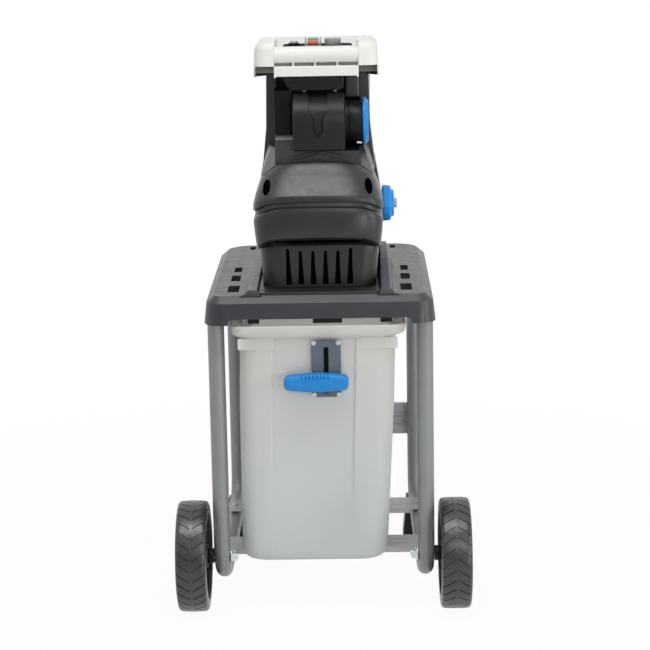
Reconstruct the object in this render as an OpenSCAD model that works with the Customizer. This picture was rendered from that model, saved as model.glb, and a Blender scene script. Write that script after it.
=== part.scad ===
// Garden shredder with a toothed cutting roller, a tilting hopper and a slide-out collection box.
// Millimetres, +Z up, origin on the floor in the middle of the footprint, wheels toward -Y.

/* [Wheels] */
// Tyre diameter
wheel_d = 190; // [160:1:220]
// Tyre width
wheel_w = 52; // [40:1:60]
// Gap from the tyre to the frame tube
wheel_gap = 9; // [7:0.5:14]

/* [Frame] */
// Outer diameter of the frame tube
tube_d = 28; // [24:1:30]
// Wall of the frame tube
tube_wall = 1.5; // [1:0.1:2.5]
// Front leg axis to rear leg axis
leg_span = 433; // [400:1:470]
// Centre-line radius of the tube bends
bend_r = 60; // [50:1:75]
// How far each rear leg stands further in than the front leg
toe_in = 6; // [0:0.5:9]
// Least gap from the box rim to a rear leg
leg_gap = 3; // [2:0.5:8]
// Width of the pressed cross bars
bar_w = 70; // [50:1:80]

/* [Collection box] */
// Height of the box
box_h = 418; // [380:1:460]
// Width over the box rim
box_w = 295; // [270:1:300]
// Depth over the box rim
box_d = 416; // [380:1:420]
// Box wall
box_wall = 2.5; // [2:0.1:4]
// Travel of the box latch
latch_travel = 30; // [20:1:34]

/* [Platform] */
// Plate thickness of the platform moulding
plate_t = 4; // [3:0.5:6]
// Space between the box rim and the underside of the plate
plate_gap = 45; // [42:1:60]
// Width of the long holes in the top
hole_w = 16; // [12:1:20]
// Length of the long holes in the top
hole_len = 40; // [30:1:46]

/* [Cutting unit] */
// Tip diameter of the cutting roller
roller_d = 84; // [74:1:86]
// Length of the cutting roller
roller_len = 74; // [60:1:80]
// Teeth of the cutting roller
roller_teeth = 8; // [6:1:10]
// Gap from the roller tips to the counter plate at rest
cut_gap = 3; // [2.5:0.1:4]
// Diameter of the adjusting knob
knob_d = 64; // [54:1:70]

/* [Drive] */
// Teeth of the motor pinion
pinion_a = 10; // [10:1:12]
// Teeth of the large lay gear
gear_a = 70; // [60:1:72]
// Module of the first stage
module_a = 1.25; // [1.15:0.05:1.3]
// Teeth of the lay pinion
pinion_b = 9; // [9:1:11]
// Teeth of the output gear
gear_b = 63; // [54:1:66]
// Module of the second stage
module_b = 1.6; // [1.5:0.05:1.65]
// Radius of the motor can
motor_r = 44; // [38:1:45]

/* [Hopper] */
// Height from the hopper seam to the hinge axis
hinge_rise = 85; // [80:1:90]
// Diameter of the blue lock disc
disc_d = 80; // [70:1:82]
// Half width of the feed mouth
mouth_half = 80; // [70:1:82]
// Wall of the white cap
cap_wall = 3; // [2.5:0.1:4]

/* [Clearances] */
// Radial running fit of shafts and pins
run_fit = 0.05; // [0.02:0.01:0.1]
// Seat gap of round faces and sliding faces
seat_gap = 0.25; // [0.15:0.05:0.3]

/* [Hidden] */
$fn = 64;
cut = 1;
far = 400;

// Heights, each on top of the one before
axle_z = wheel_d / 2;
run_drop = 24;
run_z = axle_z - run_drop;
tube_r = tube_d / 2;
bar_t = 2;
bar_top = run_z + tube_r + seat_gap + bar_t;
box_z = bar_top;
rim_z = box_z + box_h;
plate_z = rim_z + plate_gap;
top_z = plate_z + plate_t;
deck_h = 4;
deck_z = top_z + deck_h;
roller_z = deck_z + 106;
seam_z = deck_z + 187;
hinge_z = seam_z + hinge_rise;
lip_z = hinge_z + 73;
cap_z = lip_z + 61;

// Positions across the machine
box_x = -4;
leg_x = box_w / 2 - box_x + leg_gap + toe_in + tube_r;
wheel_x = leg_x + tube_r + wheel_gap + wheel_w / 2;
toe = asin(toe_in / leg_span);
bolt_r = 6;
function tube_x(y) = leg_x - (y - leg_y) * tan(toe);

// Positions along the machine, zero at the wheel axle
axle_back = 4;
bend_back = bend_r - sqrt(bend_r * bend_r - (bend_r - run_drop) * (bend_r - run_drop));
leg_y = axle_back - bend_back;
rear_y = leg_y + leg_span;
front_y = leg_y - 37;
back_y = rear_y + 45;
axle_y = -(back_y - wheel_d / 2) / 2;
leg_top = plate_z - 5;
bar_front_y = leg_y + bend_r + bar_w / 2 + 3;
bar_rear_y = rear_y - bend_r - bar_w / 2 - 15;

// Frame details
bar_lip = 9;
bar_over = 12;
groove_w = 6;
groove_t = 0.8;
groove_step = 12;
screw_r = 2.9;
screw_hole_r = screw_r + seat_gap;
head_r = 5.5;
head_h = 3.4;
screw_len = 14;
brace_z = run_z + 146;
brace_half = 30;
brace_y = rear_y + tube_r + seat_gap;
foot_y0 = rear_y - 57;
foot_y1 = rear_y - 1;
foot_top = run_z + 4;
foot_half = tube_r + 11;
foot_half_top = tube_r + 4;

// Wheel details
rim_r = wheel_d / 2 - 21;
hub_r = 20;
hub_in = wheel_w / 2 - 2;
hub_out = wheel_w / 2 - 10;
web_t = 6;
web_holes = 6;
bolt_head_r = 9.5;
bolt_head_t = 7;
nut_r = 10.4;
nut_t = 8;
washer_r = 12;
washer_t = 2;
spacer_r = 13;
tyre_shoulder = 7;
bolt_x0 = leg_x - tube_r - seat_gap - washer_t - nut_t - 3;
hub_x_in = wheel_x - hub_in;
hub_x_out = wheel_x + hub_out;

// Platform details
corner_r = 30;
back_corner = 62;
skirt_h = 33;
socket_h = 43;
flare = 4;
bevel = 9;
bevel_run = 13;
socket_in = tube_r + 3;
socket_front = 33;
socket_back = 30;
socket_screw_z = plate_z - 25;
skirt_z = plate_z - skirt_h;
socket_z = plate_z - socket_h;
side_half = leg_x + tube_r + flare;
deck_half = 124;
deck_y0 = -22;
deck_y1 = back_y - 25;
hole_x = leg_x - 28.5;
hole_rows = [[hole_x, 38, hole_w, hole_len], [hole_x, 122, hole_w, hole_len], [hole_x, 199, hole_w, hole_len],
  [hole_x - 15, rear_y + 4, hole_w / 2, hole_len / 2]];
rail_in = 102;
rail_side = 1.5;
rail_slope = 4;
rail_h = 7;
rail_end = 6;
rail_y1 = 300;
lug_x = 104;
lug_t = 14;
lug_r = 35;

// Box details
rim_half = box_w / 2;
rim_y0 = front_y - 1;
rim_y1 = rim_y0 + box_d;
rim_h = 21;
rim_step = 8;
body_half = rim_half - 17.5;
base_half = body_half - 8;
body_y0 = rim_y0 + rim_step;
body_y1 = rim_y1 - rim_step;
base_y0 = body_y0 + 18;
base_y1 = body_y1 - 12;
straight_z = rim_z - 135;
base_round = 36;
shoulder_h = 22;
shoulder_out = 3;
shoulder_in = 70;
box_corner = 28;

// Latch details
latch_x = 9.4;
latch_half = 24.5;
latch_z0 = rim_z - 122;
latch_z1 = rim_z - 26;
plate_thick = 2.5;
slot_half = 3;
slot_z0 = latch_z0 + 6;
slot_z1 = latch_z1 - 11;
border = 2.5;
border_t = 0.8;
stem_half = slot_half - 0.5;
stem_z0 = slot_z0 + 3;
stem_h = 20;
tongue_half = 12;
tongue_t = 3;
tongue_top = rim_z - 2;
grip_z0 = latch_z0 + 10;
grip_h = 36;
grip_left = 70;
grip_right = 37;
grip_t = 23;
latch_plate_y = body_y0 - plate_thick;
grip_back_y = latch_plate_y - border_t - seat_gap;
latch_screw_in = 4;
tongue_y0 = body_y0 + box_wall + seat_gap;
latch_screw_r = 1.8;
latch_head_r = 4;
latch_head_t = 2.2;
latch_screw_spots = [for (x = [latch_x - latch_half + latch_screw_in, latch_x + latch_half - latch_screw_in],
  z = [latch_z0 + latch_screw_in, latch_z1 - latch_screw_in]) [x, z]];

// Interlock and guides under the platform
catch_x0 = -11.5;
catch_x1 = 37;
catch_y0 = front_y + flare + plate_t + 0.5;
catch_y1 = front_y + 34;
tab_drop = plate_gap - 3;
catch_play = 1.2;
guide_x = 110;
guide_w = 19;
guide_t = 20;
tab_slope = [bevel_run + 1, 6.5];

// Motor housing, profiles as [across or along, height above the deck]
vent_y0 = 12;
vent_top = 76;
vent_half = 95;
vent_half_top = 101;
shell = 3;
slots = 6;
slot_pitch = 21;
vent_slot_z0 = 5;
vent_slot_z1 = 64;
vent_slot_top = 2;
vent_slot_bottom = 5;
cover_back = 112;
cover_rise = 201;
cover_side = [[-20, 76], [-36, 90], [-37, 132], [-29, 146], [-32, 146], [-28, 150], [-9, 183],
  [4, 195], [30, 201], [112, 201], [112, 76]];
cover_side_in = [[-16, 79], [-33, 92], [-34, 131], [-26, 144], [-24, 150], [-6, 181],
  [5, 192], [31, 198], [113, 198], [113, 79]];
cover_front = [[-103, 76], [-108, 100], [-110.5, 118], [-106.5, 145], [-98.5, 175], [-92.5, 195],
  [-60, 201], [60, 201], [92.5, 195], [98.5, 175], [106.5, 145], [110.5, 118], [108, 100], [103, 76]];
cover_front_in = [[-99, 79], [-105, 101], [-107, 118], [-103, 144], [-95, 174], [-89, 192],
  [-59, 198], [59, 198], [89, 192], [95, 174], [103, 144], [107, 118], [105, 101], [99, 79]];
cover_corner = 46;
cover_half = 111;
cover_nose = -38;
boss_x = 84;
boss_z = 170;
boss_r = 9;
recess_r = 5;
recess_oval = 3;
recess_end = 60;
cover_screw_r = 2.5;
cover_screw_len = 62;
cover_head_r = 4.5;
cover_head_t = 4;

// Motor and gears
motor_x = 0;
roller_x = -14;
motor_y0 = 12;
motor_z = roller_z + 22;
can_wall = 4;
rotor_r = 5;
armature_r = motor_r - 8;
lay_r = 6;
roller_shaft_r = 10;
case_y1 = 192;
case_wall = 6;
case_top = 184;
case_front = [[-vent_half, 0], [-vent_half_top + 1, 60], [-vent_half_top, 132], [-vent_half, 184],
  [vent_half, 184], [vent_half_top, 132], [vent_half_top - 1, 60], [vent_half, 0]];
case_low_in = vent_half - case_wall;
case_top_in = vent_half_top - case_wall;
case_front_in = [[-case_low_in, case_wall], [-case_top_in + 1, 60], [-case_top_in, 131],
  [-case_low_in - 1, 184 - case_wall], [case_low_in + 1, 184 - case_wall], [case_top_in, 131],
  [case_top_in - 1, 60], [case_low_in, case_wall]];
stage_a_y = 128;
stage_a_w = 14;
stage_b_y = 160;
stage_b_w = 22;
pinion_over = 2;
pinion_add = 0.9;
gear_add = 0.5;
pinion_ded = 0.7;
gear_ded = 1.1;
backlash = 0.12;
pressure = 20;
fan_r = 40;
fan_blades = 8;
blade_in = 2;

// Lay shaft from the two centre distances
dist_a = module_a * (pinion_a + gear_a) / 2;
dist_b = module_b * (pinion_b + gear_b) / 2;
base_d = norm([motor_x - roller_x, motor_z - roller_z]);
base_turn = atan2(motor_z - roller_z, motor_x - roller_x);
lay_along = (dist_b * dist_b - dist_a * dist_a + base_d * base_d) / (2 * base_d);
lay_off = sqrt(dist_b * dist_b - lay_along * lay_along);
lay_x = roller_x + lay_along * cos(base_turn) + lay_off * sin(base_turn);
lay_z = roller_z + lay_along * sin(base_turn) - lay_off * cos(base_turn);
dir_motor = atan2(motor_z - lay_z, motor_x - lay_x);
dir_roller = atan2(roller_z - lay_z, roller_x - lay_x);

// Cutter housing
cutter_y1 = 300;
cutter_mid = 241;
cutter_front = [[-98, 0], [-104, 54], [-107, 132], [-98, 187], [98, 187], [107, 132], [104, 54], [98, 0]];
chamber_half = roller_len / 2 + 2;
chamber_y0 = cutter_mid - chamber_half;
chamber_y1 = cutter_mid + chamber_half;
chamber_x0 = roller_x - roller_d / 2 - 4;
chamber_x1 = 52;
gullet_r = roller_d / 2 - 12;
bearing_r = 21;
bearing_w = 8;
bearing_far_y = 284;
counter_x0 = roller_x + roller_d / 2 + cut_gap;
counter_x1 = 49;
counter_low = 26;
counter_high = 44;
spindle_r = 8;
spindle_x0 = 40;
spindle_x1 = 119;
knob_x0 = 109;
knob_x1 = 123;
knob_x2 = 130;
knob_step = 6;
knob_notches = 20;
notch_r = 2.2;
cap_r = 8.5;
cap_t = 5.5;

// Half width of the switch console and of the recess below it
console_half = 71;
recess_half = console_half + 0.5;

// Hinge block, lock knob and pin
hinge_y = 70;
block_r = 48;
block_x0 = -40;
block_x1 = 46;
block_low = 229;
// Gables under the block as [front, half width, eaves, ridge], heights above the deck
gables = [[46, 62, 212, 221.3], [32, 52, 204.4, 219]];
ear_gap = 0.4;
ear_r = 33;
ear_r_left = 14;
ear_right = 52;
ear_left = -recess_half - 1;
ear_arm = 30;
ear_arm_left = 12;
ear_reach = 24;
pin_r = 8;
hub_r2 = 33.5;
hub_x0 = ear_right + ear_gap;
hub_x1 = 76;
disc_x1 = 86;
disc_edge = 3;
mark_t = 3;
mark_y_top = [[-14, 42], [-14, 20], [-7, 12], [-7, 6], [-4, -8], [0, -20], [4, -8], [7, 6], [7, 12], [14, 20],
  [14, 42], [6, 42], [6, 28], [-6, 28], [-6, 42]];

// White cap profiles as [along or across, height above the lip]
cap_y0 = 45;
cap_bend = 189;
cap_side = [[45, 0], [45, 46], [50, 55], [60, 61], [cap_bend + 1, 61], [402, -91], [392, -106], [215, 0]];
cap_side_in = [[45 + cap_wall, -30], [45 + cap_wall, 45], [50 + cap_wall, 56 - cap_wall], [61, 61 - cap_wall],
  [cap_bend, 61 - cap_wall], [402 - 4 * cap_wall / 3, -92], [392 - 5 * cap_wall / 3, -115], [215, -30]];
cap_slope = (cap_side_in[4][1] - cap_side_in[5][1]) / (cap_side_in[5][0] - cap_side_in[4][0]);
cap_tail = 94.6;
cap_lip = 105;
cap_front = [[-cap_tail, -106], [-cap_tail, 0], [-cap_lip, 0], [-101.5, 61], [101.5, 61], [cap_lip, 0],
  [cap_tail, 0], [cap_tail, -106]];
cap_front_in = [[-cap_tail + cap_wall, -120], [-cap_tail + cap_wall, cap_wall], [-cap_lip + cap_wall, cap_wall],
  [-101.5 + cap_wall, 61 - cap_wall], [101.5 - cap_wall, 61 - cap_wall], [cap_lip - cap_wall, cap_wall],
  [cap_tail - cap_wall, cap_wall], [cap_tail - cap_wall, -120]];
roll_r = 12.4;
roll_z = 41.8;
roll_half = 70;
mouth_side = [[200, 90], [200, 30], [376, -96], [376, 90]];
console_y0 = 62;
console_y1 = 172;
console_drop = 11;
console_wall = 3;
console_z = cap_z - console_drop;
hand_z0 = 21.5;
hand_z1 = 29.4;
hand_half = 66;
hand_ribs = [-38, -1.5, 35.5];
hand_rib_t = 3;
panel_lip_z = 18;

// Hopper profiles as [along or across, height above the seam]
hopper_y0 = 112.5;
wall_back = 169;
funnel_y0 = wall_back + 3;
cap_in = cap_z - cap_wall - seam_z;
hopper_side = [[hopper_y0, 0], [hopper_y0, cap_in], [cap_bend, cap_in],
  [388, cap_in - (388 - cap_bend) * cap_slope - seat_gap], [383, 52], [300, 0]];
hopper_front = [[-97, 0], [-89, 70], [-87, 160], [-87, 240], [87, 240], [87, 160], [89, 70], [97, 0]];
funnel_side = [[funnel_y0, 240], [funnel_y0, 135], [chamber_y0, -1], [chamber_y1, -1], [380, 58], [384, 240]];
funnel_front = [[chamber_x0, -1], [-84, 115], [-84, 240], [84, 240], [84, 115], [chamber_x1, -1]];
wall_top = console_z - console_wall - seat_gap - seam_z;
recess_side = [[90, -1], [90, 240], [funnel_y0 + 1, 240], [funnel_y0 + 1, wall_top], [wall_back, wall_top],
  [wall_back, 135], [196, 3], [196, -1]];

// Switches on the console
panel_x0 = -55;
panel_x1 = 60;
panel_y0 = 68;
panel_y1 = 136;
panel_t = 2;
panel_corner = 20;
panel_z = console_z + panel_t;
switch_x = -5;
switch_y = 93;
switch_w = 27;
switch_d = 40;
switch_h = 8;
guard_h = 12;
guard_t = 2.5;
button_w = 18;
button_d = 15;
button_h = 8;
button_travel = 2.5;
button_split = 2;
reset_x = -37;
reset_r = 6.5;
reset_ring = 3;
reset_ring_h = 4;
reset_h = 8;
selector_x = 28;
selector_r = 13.5;
selector_h = 11;
selector_ribs = 18;
selector_stem = 4;
swbox_x0 = -50;
swbox_x1 = 46;
swbox_y0 = 72;
swbox_y1 = 165;
swbox_drop = 69;
swbox_screws = [-22, 30];
swbox_screw_y = 82;

// Moves every node from the axle-based drawing frame into the part frame
module placed() {
  translate([0, axle_y, 0])
    children();
}

// Extrudes a [y, z] outline along X
module along_x(x0, x1) {
  translate([x0, 0, 0])
    rotate([90, 0, 90])
      linear_extrude(x1 - x0)
        children();
}

// Extrudes an [x, z] outline along Y
module along_y(y0, y1) {
  translate([0, y1, 0])
    rotate([90, 0, 0])
      linear_extrude(y1 - y0)
        children();
}

// Extrudes an [x, y] outline along Z
module along_z(z0, z1) {
  translate([0, 0, z0])
    linear_extrude(z1 - z0)
      children();
}

module rod_x(x0, x1, y, z, r) {
  translate([x0, y, z])
    rotate([0, 90, 0])
      cylinder(h = x1 - x0, r = r);
}

module rod_y(y0, y1, x, z, r) {
  translate([x, y0, z])
    rotate([-90, 0, 0])
      cylinder(h = y1 - y0, r = r);
}

module rod_z(z0, z1, x, y, r) {
  translate([x, y, z0])
    cylinder(h = z1 - z0, r = r);
}

module block(x0, x1, y0, y1, z0, z1) {
  translate([x0, y0, z0])
    cube([x1 - x0, y1 - y0, z1 - z0]);
}

// Rectangle with round corners from one corner point to the other
module round_rect(x0, y0, x1, y1, r) {
  translate([x0 + r, y0])
    square([x1 - x0 - 2 * r, y1 - y0]);
  translate([x0, y0 + r])
    square([x1 - x0, y1 - y0 - 2 * r]);
  for (x = [x0 + r, x1 - r], y = [y0 + r, y1 - r])
    translate([x, y])
      circle(r);
}

// Shifts an outline upward
function lifted(outline, z) = [for (p = outline) [p[0], p[1] + z]];

// Involute gear outline
function inv(a) = tan(a) * 180 / PI - a;
function flank(r, rb, z) = 90 / z - backlash * 180 / PI / (rb * 2) + inv(pressure) - inv(acos(min(1, rb / r)));
function polar(r, a) = [r * cos(a), r * sin(a)];
function gear_points(z, m, add, ded) =
  let (rb = m * z / 2 * cos(pressure), tip = m * z / 2 + add * m, root = m * z / 2 - ded * m,
    start = max(rb, root) * 1.0005, mid1 = (2 * start + tip) / 3, mid2 = (start + 2 * tip) / 3)
  [for (i = [0 : z - 1], p = [
    polar(root, 360 * i / z - flank(start, rb, z) - 90 / z * 0.1),
    polar(start, 360 * i / z - flank(start, rb, z)),
    polar(mid1, 360 * i / z - flank(mid1, rb, z)),
    polar(mid2, 360 * i / z - flank(mid2, rb, z)),
    polar(tip, 360 * i / z - flank(tip, rb, z)),
    polar(tip, 360 * i / z + flank(tip, rb, z)),
    polar(mid2, 360 * i / z + flank(mid2, rb, z)),
    polar(mid1, 360 * i / z + flank(mid1, rb, z)),
    polar(start, 360 * i / z + flank(start, rb, z)),
    polar(root, 360 * i / z + flank(start, rb, z) + 90 / z * 0.1)]) p];

// Gear blank about an axis along Y, turned by a given angle
module gear(y0, y1, x, z, turn, points) {
  translate([x, 0, z])
    along_y(y0, y1)
      rotate(turn)
        polygon(points);
}

// Bent tube: front leg, two bends, bottom run and rear leg
module tube_path(r, top) {
  translate([0, 0, run_z + bend_r])
    cylinder(h = top - run_z - bend_r, r = r);
  translate([0, bend_r, run_z + bend_r])
    rotate([90, 180, 90])
      rotate_extrude(angle = 90)
        translate([bend_r, 0])
          circle(r);
  translate([0, bend_r, run_z])
    rotate([-90, 0, 0])
      cylinder(h = leg_span - 2 * bend_r, r = r);
  translate([0, leg_span - bend_r, run_z + bend_r])
    rotate([0, 90, 0])
      rotate_extrude(angle = 90)
        translate([bend_r, 0])
          circle(r);
  translate([0, leg_span, run_z + bend_r])
    cylinder(h = top - run_z - bend_r, r = r);
}

module at_side(s) {
  translate([s * leg_x, leg_y, 0])
    rotate([0, 0, s * toe])
      children();
}

module side_frame(s) {
  placed()
    difference() {
      at_side(s)
        tube_path(tube_r, leg_top);
      at_side(s)
        tube_path(tube_r - tube_wall, leg_top + cut);
      rod_x(s * leg_x - 2 * tube_r, s * leg_x + 2 * tube_r, 0, axle_z, bolt_r + seat_gap);
      for (y = [bar_front_y, bar_rear_y])
        rod_z(run_z, run_z + 2 * tube_r, s * tube_x(y), y, screw_hole_r);
      rod_y(rear_y, rear_y + 2 * tube_r, s * tube_x(rear_y), brace_z, screw_hole_r);
      rod_y(leg_y, leg_y + 2 * tube_r, s * leg_x, socket_screw_z, screw_hole_r);
      rod_y(rear_y - 2 * tube_r, rear_y, s * tube_x(rear_y), socket_screw_z, screw_hole_r);
    }
}

module frame_left() {
  color("silver")
    side_frame(-1);
}

module frame_right() {
  color("silver")
    side_frame(1);
}

// Pressed bar with two lips, two pressed grooves and flat end tabs on the tubes
module cross_bar(y) {
  x_end = tube_x(y) + bar_over;
  x_lip = tube_x(y) - tube_r - bar_t;
  placed()
    color("lightslategray")
      difference() {
        union() {
          block(-x_end, x_end, y - bar_w / 2, y + bar_w / 2, bar_top - bar_t, bar_top);
          for (e = [y - bar_w / 2, y + bar_w / 2 - bar_t])
            block(-x_lip, x_lip, e, e + bar_t, bar_top - bar_lip, bar_top);
        }
        for (g = [y - groove_step, y + groove_step])
          block(-x_lip + bar_over, x_lip - bar_over, g - groove_w / 2, g + groove_w / 2, bar_top - groove_t,
            bar_top + cut);
        for (s = [-1, 1])
          rod_z(bar_top - bar_t - cut, bar_top + cut, s * tube_x(y), y, screw_hole_r);
      }
}

module cross_bar_front() {
  cross_bar(bar_front_y);
}

module cross_bar_rear() {
  cross_bar(bar_rear_y);
}

module rear_brace() {
  x_end = tube_x(rear_y) + bar_over;
  placed()
    color("lightslategray")
      difference() {
        union() {
          block(-x_end, x_end, brace_y, brace_y + bar_t, brace_z - brace_half, brace_z + brace_half);
          for (z = [brace_z - brace_half, brace_z + brace_half - bar_t])
            block(-x_end, x_end, brace_y, brace_y + bar_lip, z, z + bar_t);
        }
        for (z = [brace_z - groove_step, brace_z + groove_step])
          block(-x_end + 2 * bar_over + tube_r, x_end - 2 * bar_over - tube_r, brace_y - cut, brace_y + groove_t,
            z - groove_w / 2, z + groove_w / 2);
        for (s = [-1, 1])
          rod_y(brace_y - cut, brace_y + bar_t + cut, s * tube_x(rear_y), brace_z, screw_hole_r);
      }
}

module bar_screws() {
  placed()
    color("gainsboro")
      for (s = [-1, 1]) {
        for (y = [bar_front_y, bar_rear_y]) {
          rod_z(bar_top, bar_top + head_h, s * tube_x(y), y, head_r);
          rod_z(bar_top - screw_len, bar_top, s * tube_x(y), y, screw_r);
        }
        rod_y(brace_y + bar_t, brace_y + bar_t + head_h, s * tube_x(rear_y), brace_z, head_r);
        rod_y(brace_y + bar_t - screw_len, brace_y + bar_t, s * tube_x(rear_y), brace_z, screw_r);
      }
}

// Flared foot that grips the rear bend of the tube
module foot(s) {
  x = s * tube_x((foot_y0 + foot_y1) / 2);
  placed()
    color("dimgray")
      difference() {
        intersection() {
          translate([x, 0, 0])
            along_y(foot_y0, foot_y1)
              polygon([[-foot_half, 0], [foot_half, 0], [foot_half_top, foot_top], [-foot_half_top, foot_top]]);
          along_x(x - foot_half, x + foot_half)
            polygon([[foot_y0, 0], [foot_y1, 0], [foot_y1 - 4, foot_top], [foot_y0 + 4, foot_top]]);
        }
        at_side(s)
          tube_path(tube_r + seat_gap, leg_top);
      }
}

module foot_left() {
  foot(-1);
}

module foot_right() {
  foot(1);
}

// Outer skin of the platform, grown inward by a wall
module platform_skin(wall, z0, z1) {
  intersection() {
    along_y(front_y + wall, back_y - wall)
      polygon([[-side_half + wall, z0], [-side_half + flare + wall, top_z - bevel],
        [-side_half + flare + bevel_run + wall, z1], [side_half - flare - bevel_run - wall, z1],
        [side_half - flare - wall, top_z - bevel], [side_half - wall, z0]]);
    along_x(-side_half, side_half)
      polygon([[front_y + wall, z0], [front_y + flare + wall, top_z - bevel],
        [front_y + flare + bevel_run + wall, z1], [back_y - flare - bevel_run - wall, z1],
        [back_y - flare - wall, top_z - bevel], [back_y - wall, z0]]);
    along_z(z0, z1)
      round_rect(-side_half + wall, front_y + wall, side_half - wall, back_y + 2 * corner_r, corner_r - wall);
    along_z(z0, z1)
      round_rect(-side_half + wall, front_y - 3 * back_corner, side_half - wall, back_y - wall, back_corner - wall);
  }
}

module leg_blocks() {
  for (s = [-1, 1]) {
    block(min(s * (leg_x - socket_in), s * side_half), max(s * (leg_x - socket_in), s * side_half), front_y,
      leg_y + socket_front, socket_z, plate_z);
    block(min(s * (tube_x(rear_y) - socket_in), s * side_half), max(s * (tube_x(rear_y) - socket_in), s * side_half),
      rear_y - socket_back, back_y, socket_z, plate_z);
  }
}

// Raised rail beside the housing, sloping at both ends
module deck_rail() {
  z1 = deck_z + rail_h;
  intersection() {
    along_y(deck_y0 - far, far)
      polygon([[rail_in, top_z], [rail_in, deck_z], [rail_in + rail_side, z1], [deck_half - rail_slope, z1],
        [deck_half, top_z]]);
    along_x(0, far)
      polygon([[deck_y0, top_z], [deck_y0 + rail_end, z1], [rail_y1 - rail_end, z1], [rail_y1, top_z]]);
  }
}

module platform() {
  placed()
    color("dimgray")
      difference() {
        union() {
          difference() {
            platform_skin(0, socket_z, top_z);
            difference() {
              platform_skin(plate_t, socket_z - cut, plate_z);
              leg_blocks();
            }
            block(-leg_x + socket_in, leg_x - socket_in, front_y - cut, back_y + cut, socket_z - cut, skirt_z);
            block(-far, far, leg_y + socket_front, rear_y - socket_back, socket_z - cut, skirt_z);
          }
          along_z(top_z, deck_z)
            round_rect(-deck_half, deck_y0, deck_half, deck_y1, corner_r);
          for (s = [0, 1])
            mirror([s, 0, 0])
              deck_rail();
          intersection() {
            rod_x(lug_x, lug_x + lug_t, cutter_mid, deck_z, lug_r);
            block(lug_x - cut, lug_x + lug_t + cut, 0, far, deck_z, deck_z + far);
          }
        }
        for (s = [-1, 1]) {
          rod_z(socket_z - cut, leg_top, s * leg_x, leg_y, tube_r + seat_gap);
          rod_z(socket_z - cut, leg_top, s * tube_x(rear_y), rear_y, tube_r + seat_gap);
          rod_y(leg_y, leg_y + socket_front + cut, s * leg_x, socket_screw_z, screw_hole_r);
          rod_y(rear_y - socket_back - cut, rear_y, s * tube_x(rear_y), socket_screw_z, screw_hole_r);
          for (h = hole_rows)
            block(s * h[0] - h[2] / 2, s * h[0] + h[2] / 2, h[1] - h[3] / 2, h[1] + h[3] / 2, plate_z - cut,
              top_z + cut);
        }
        block(chamber_x0, chamber_x1, chamber_y0, chamber_y1, plate_z - cut, deck_z + cut);
      }
}

module leg_screws() {
  placed()
    color("gainsboro")
      for (s = [-1, 1]) {
        rod_y(leg_y + socket_front, leg_y + socket_front + head_h, s * leg_x, socket_screw_z, head_r);
        rod_y(leg_y + tube_r - 3, leg_y + socket_front, s * leg_x, socket_screw_z, screw_r);
        rod_y(rear_y - socket_back - head_h, rear_y - socket_back, s * tube_x(rear_y), socket_screw_z, head_r);
        rod_y(rear_y - socket_back, rear_y - tube_r + 3, s * tube_x(rear_y), socket_screw_z, screw_r);
      }
}

// Axle parts on the right side, mirrored for the left
module both_sides() {
  children();
  mirror([1, 0, 0])
    children();
}

module axle_bolts() {
  placed()
    color("gainsboro")
      both_sides() {
        rod_x(bolt_x0, hub_x_out + seat_gap, 0, axle_z, bolt_r);
        translate([hub_x_out + seat_gap, 0, axle_z])
          rotate([0, 90, 0])
            cylinder(h = bolt_head_t, r = bolt_head_r, $fn = 6);
      }
}

module axle_nuts() {
  x1 = leg_x - tube_r - seat_gap;
  placed()
    color("gainsboro")
      both_sides()
        difference() {
          union() {
            rod_x(x1 - washer_t, x1, 0, axle_z, washer_r);
            translate([x1 - washer_t - nut_t, 0, axle_z])
              rotate([0, 90, 0])
                cylinder(h = nut_t, r = nut_r, $fn = 6);
          }
          rod_x(x1 - washer_t - nut_t - cut, x1 + cut, 0, axle_z, bolt_r + run_fit);
        }
}

module axle_spacers() {
  placed()
    color("dimgray")
      both_sides()
        difference() {
          rod_x(leg_x + tube_r + seat_gap, hub_x_in - seat_gap, 0, axle_z, spacer_r);
          rod_x(leg_x, hub_x_in, 0, axle_z, bolt_r + run_fit);
        }
}

// Wheel rim with a pierced web and a hub, drawn for the right side
module wheel_body() {
  difference() {
    union() {
      rod_x(hub_x_in, hub_x_out, 0, axle_z, hub_r);
      rod_x(wheel_x - web_t / 2, wheel_x + web_t / 2, 0, axle_z, rim_r - 1);
      difference() {
        rod_x(wheel_x - wheel_w / 2 + 3, wheel_x + wheel_w / 2 - 3, 0, axle_z, rim_r);
        rod_x(wheel_x - wheel_w, wheel_x + wheel_w, 0, axle_z, rim_r - 5);
      }
    }
    rod_x(hub_x_in - cut, hub_x_out + cut, 0, axle_z, bolt_r + run_fit);
    for (i = [0 : web_holes - 1])
      translate([0, 0, axle_z])
        rotate([360 * i / web_holes, 0, 0])
          rod_x(wheel_x - web_t, wheel_x + web_t, 0, (rim_r + hub_r) / 2, (rim_r - hub_r) / 4);
  }
}

module tyre_body() {
  translate([wheel_x, 0, axle_z])
    rotate([0, 90, 0])
      rotate_extrude()
        polygon([[rim_r + seat_gap, -wheel_w / 2 + 2], [wheel_d / 2 - tyre_shoulder, -wheel_w / 2],
          [wheel_d / 2 - 2, -wheel_w / 2 + 2], [wheel_d / 2, -wheel_w / 2 + tyre_shoulder],
          [wheel_d / 2, wheel_w / 2 - tyre_shoulder], [wheel_d / 2 - 2, wheel_w / 2 - 2],
          [wheel_d / 2 - tyre_shoulder, wheel_w / 2], [rim_r + seat_gap, wheel_w / 2 - 2]]);
}

module wheel_right() {
  color("darkslategray")
    placed()
      wheel_body();
}

module wheel_left() {
  color("darkslategray")
    mirror([1, 0, 0])
      placed()
        wheel_body();
}

module tyre_right() {
  color("dimgray")
    placed()
      tyre_body();
}

module tyre_left() {
  color("dimgray")
    mirror([1, 0, 0])
      placed()
        tyre_body();
}

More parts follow.
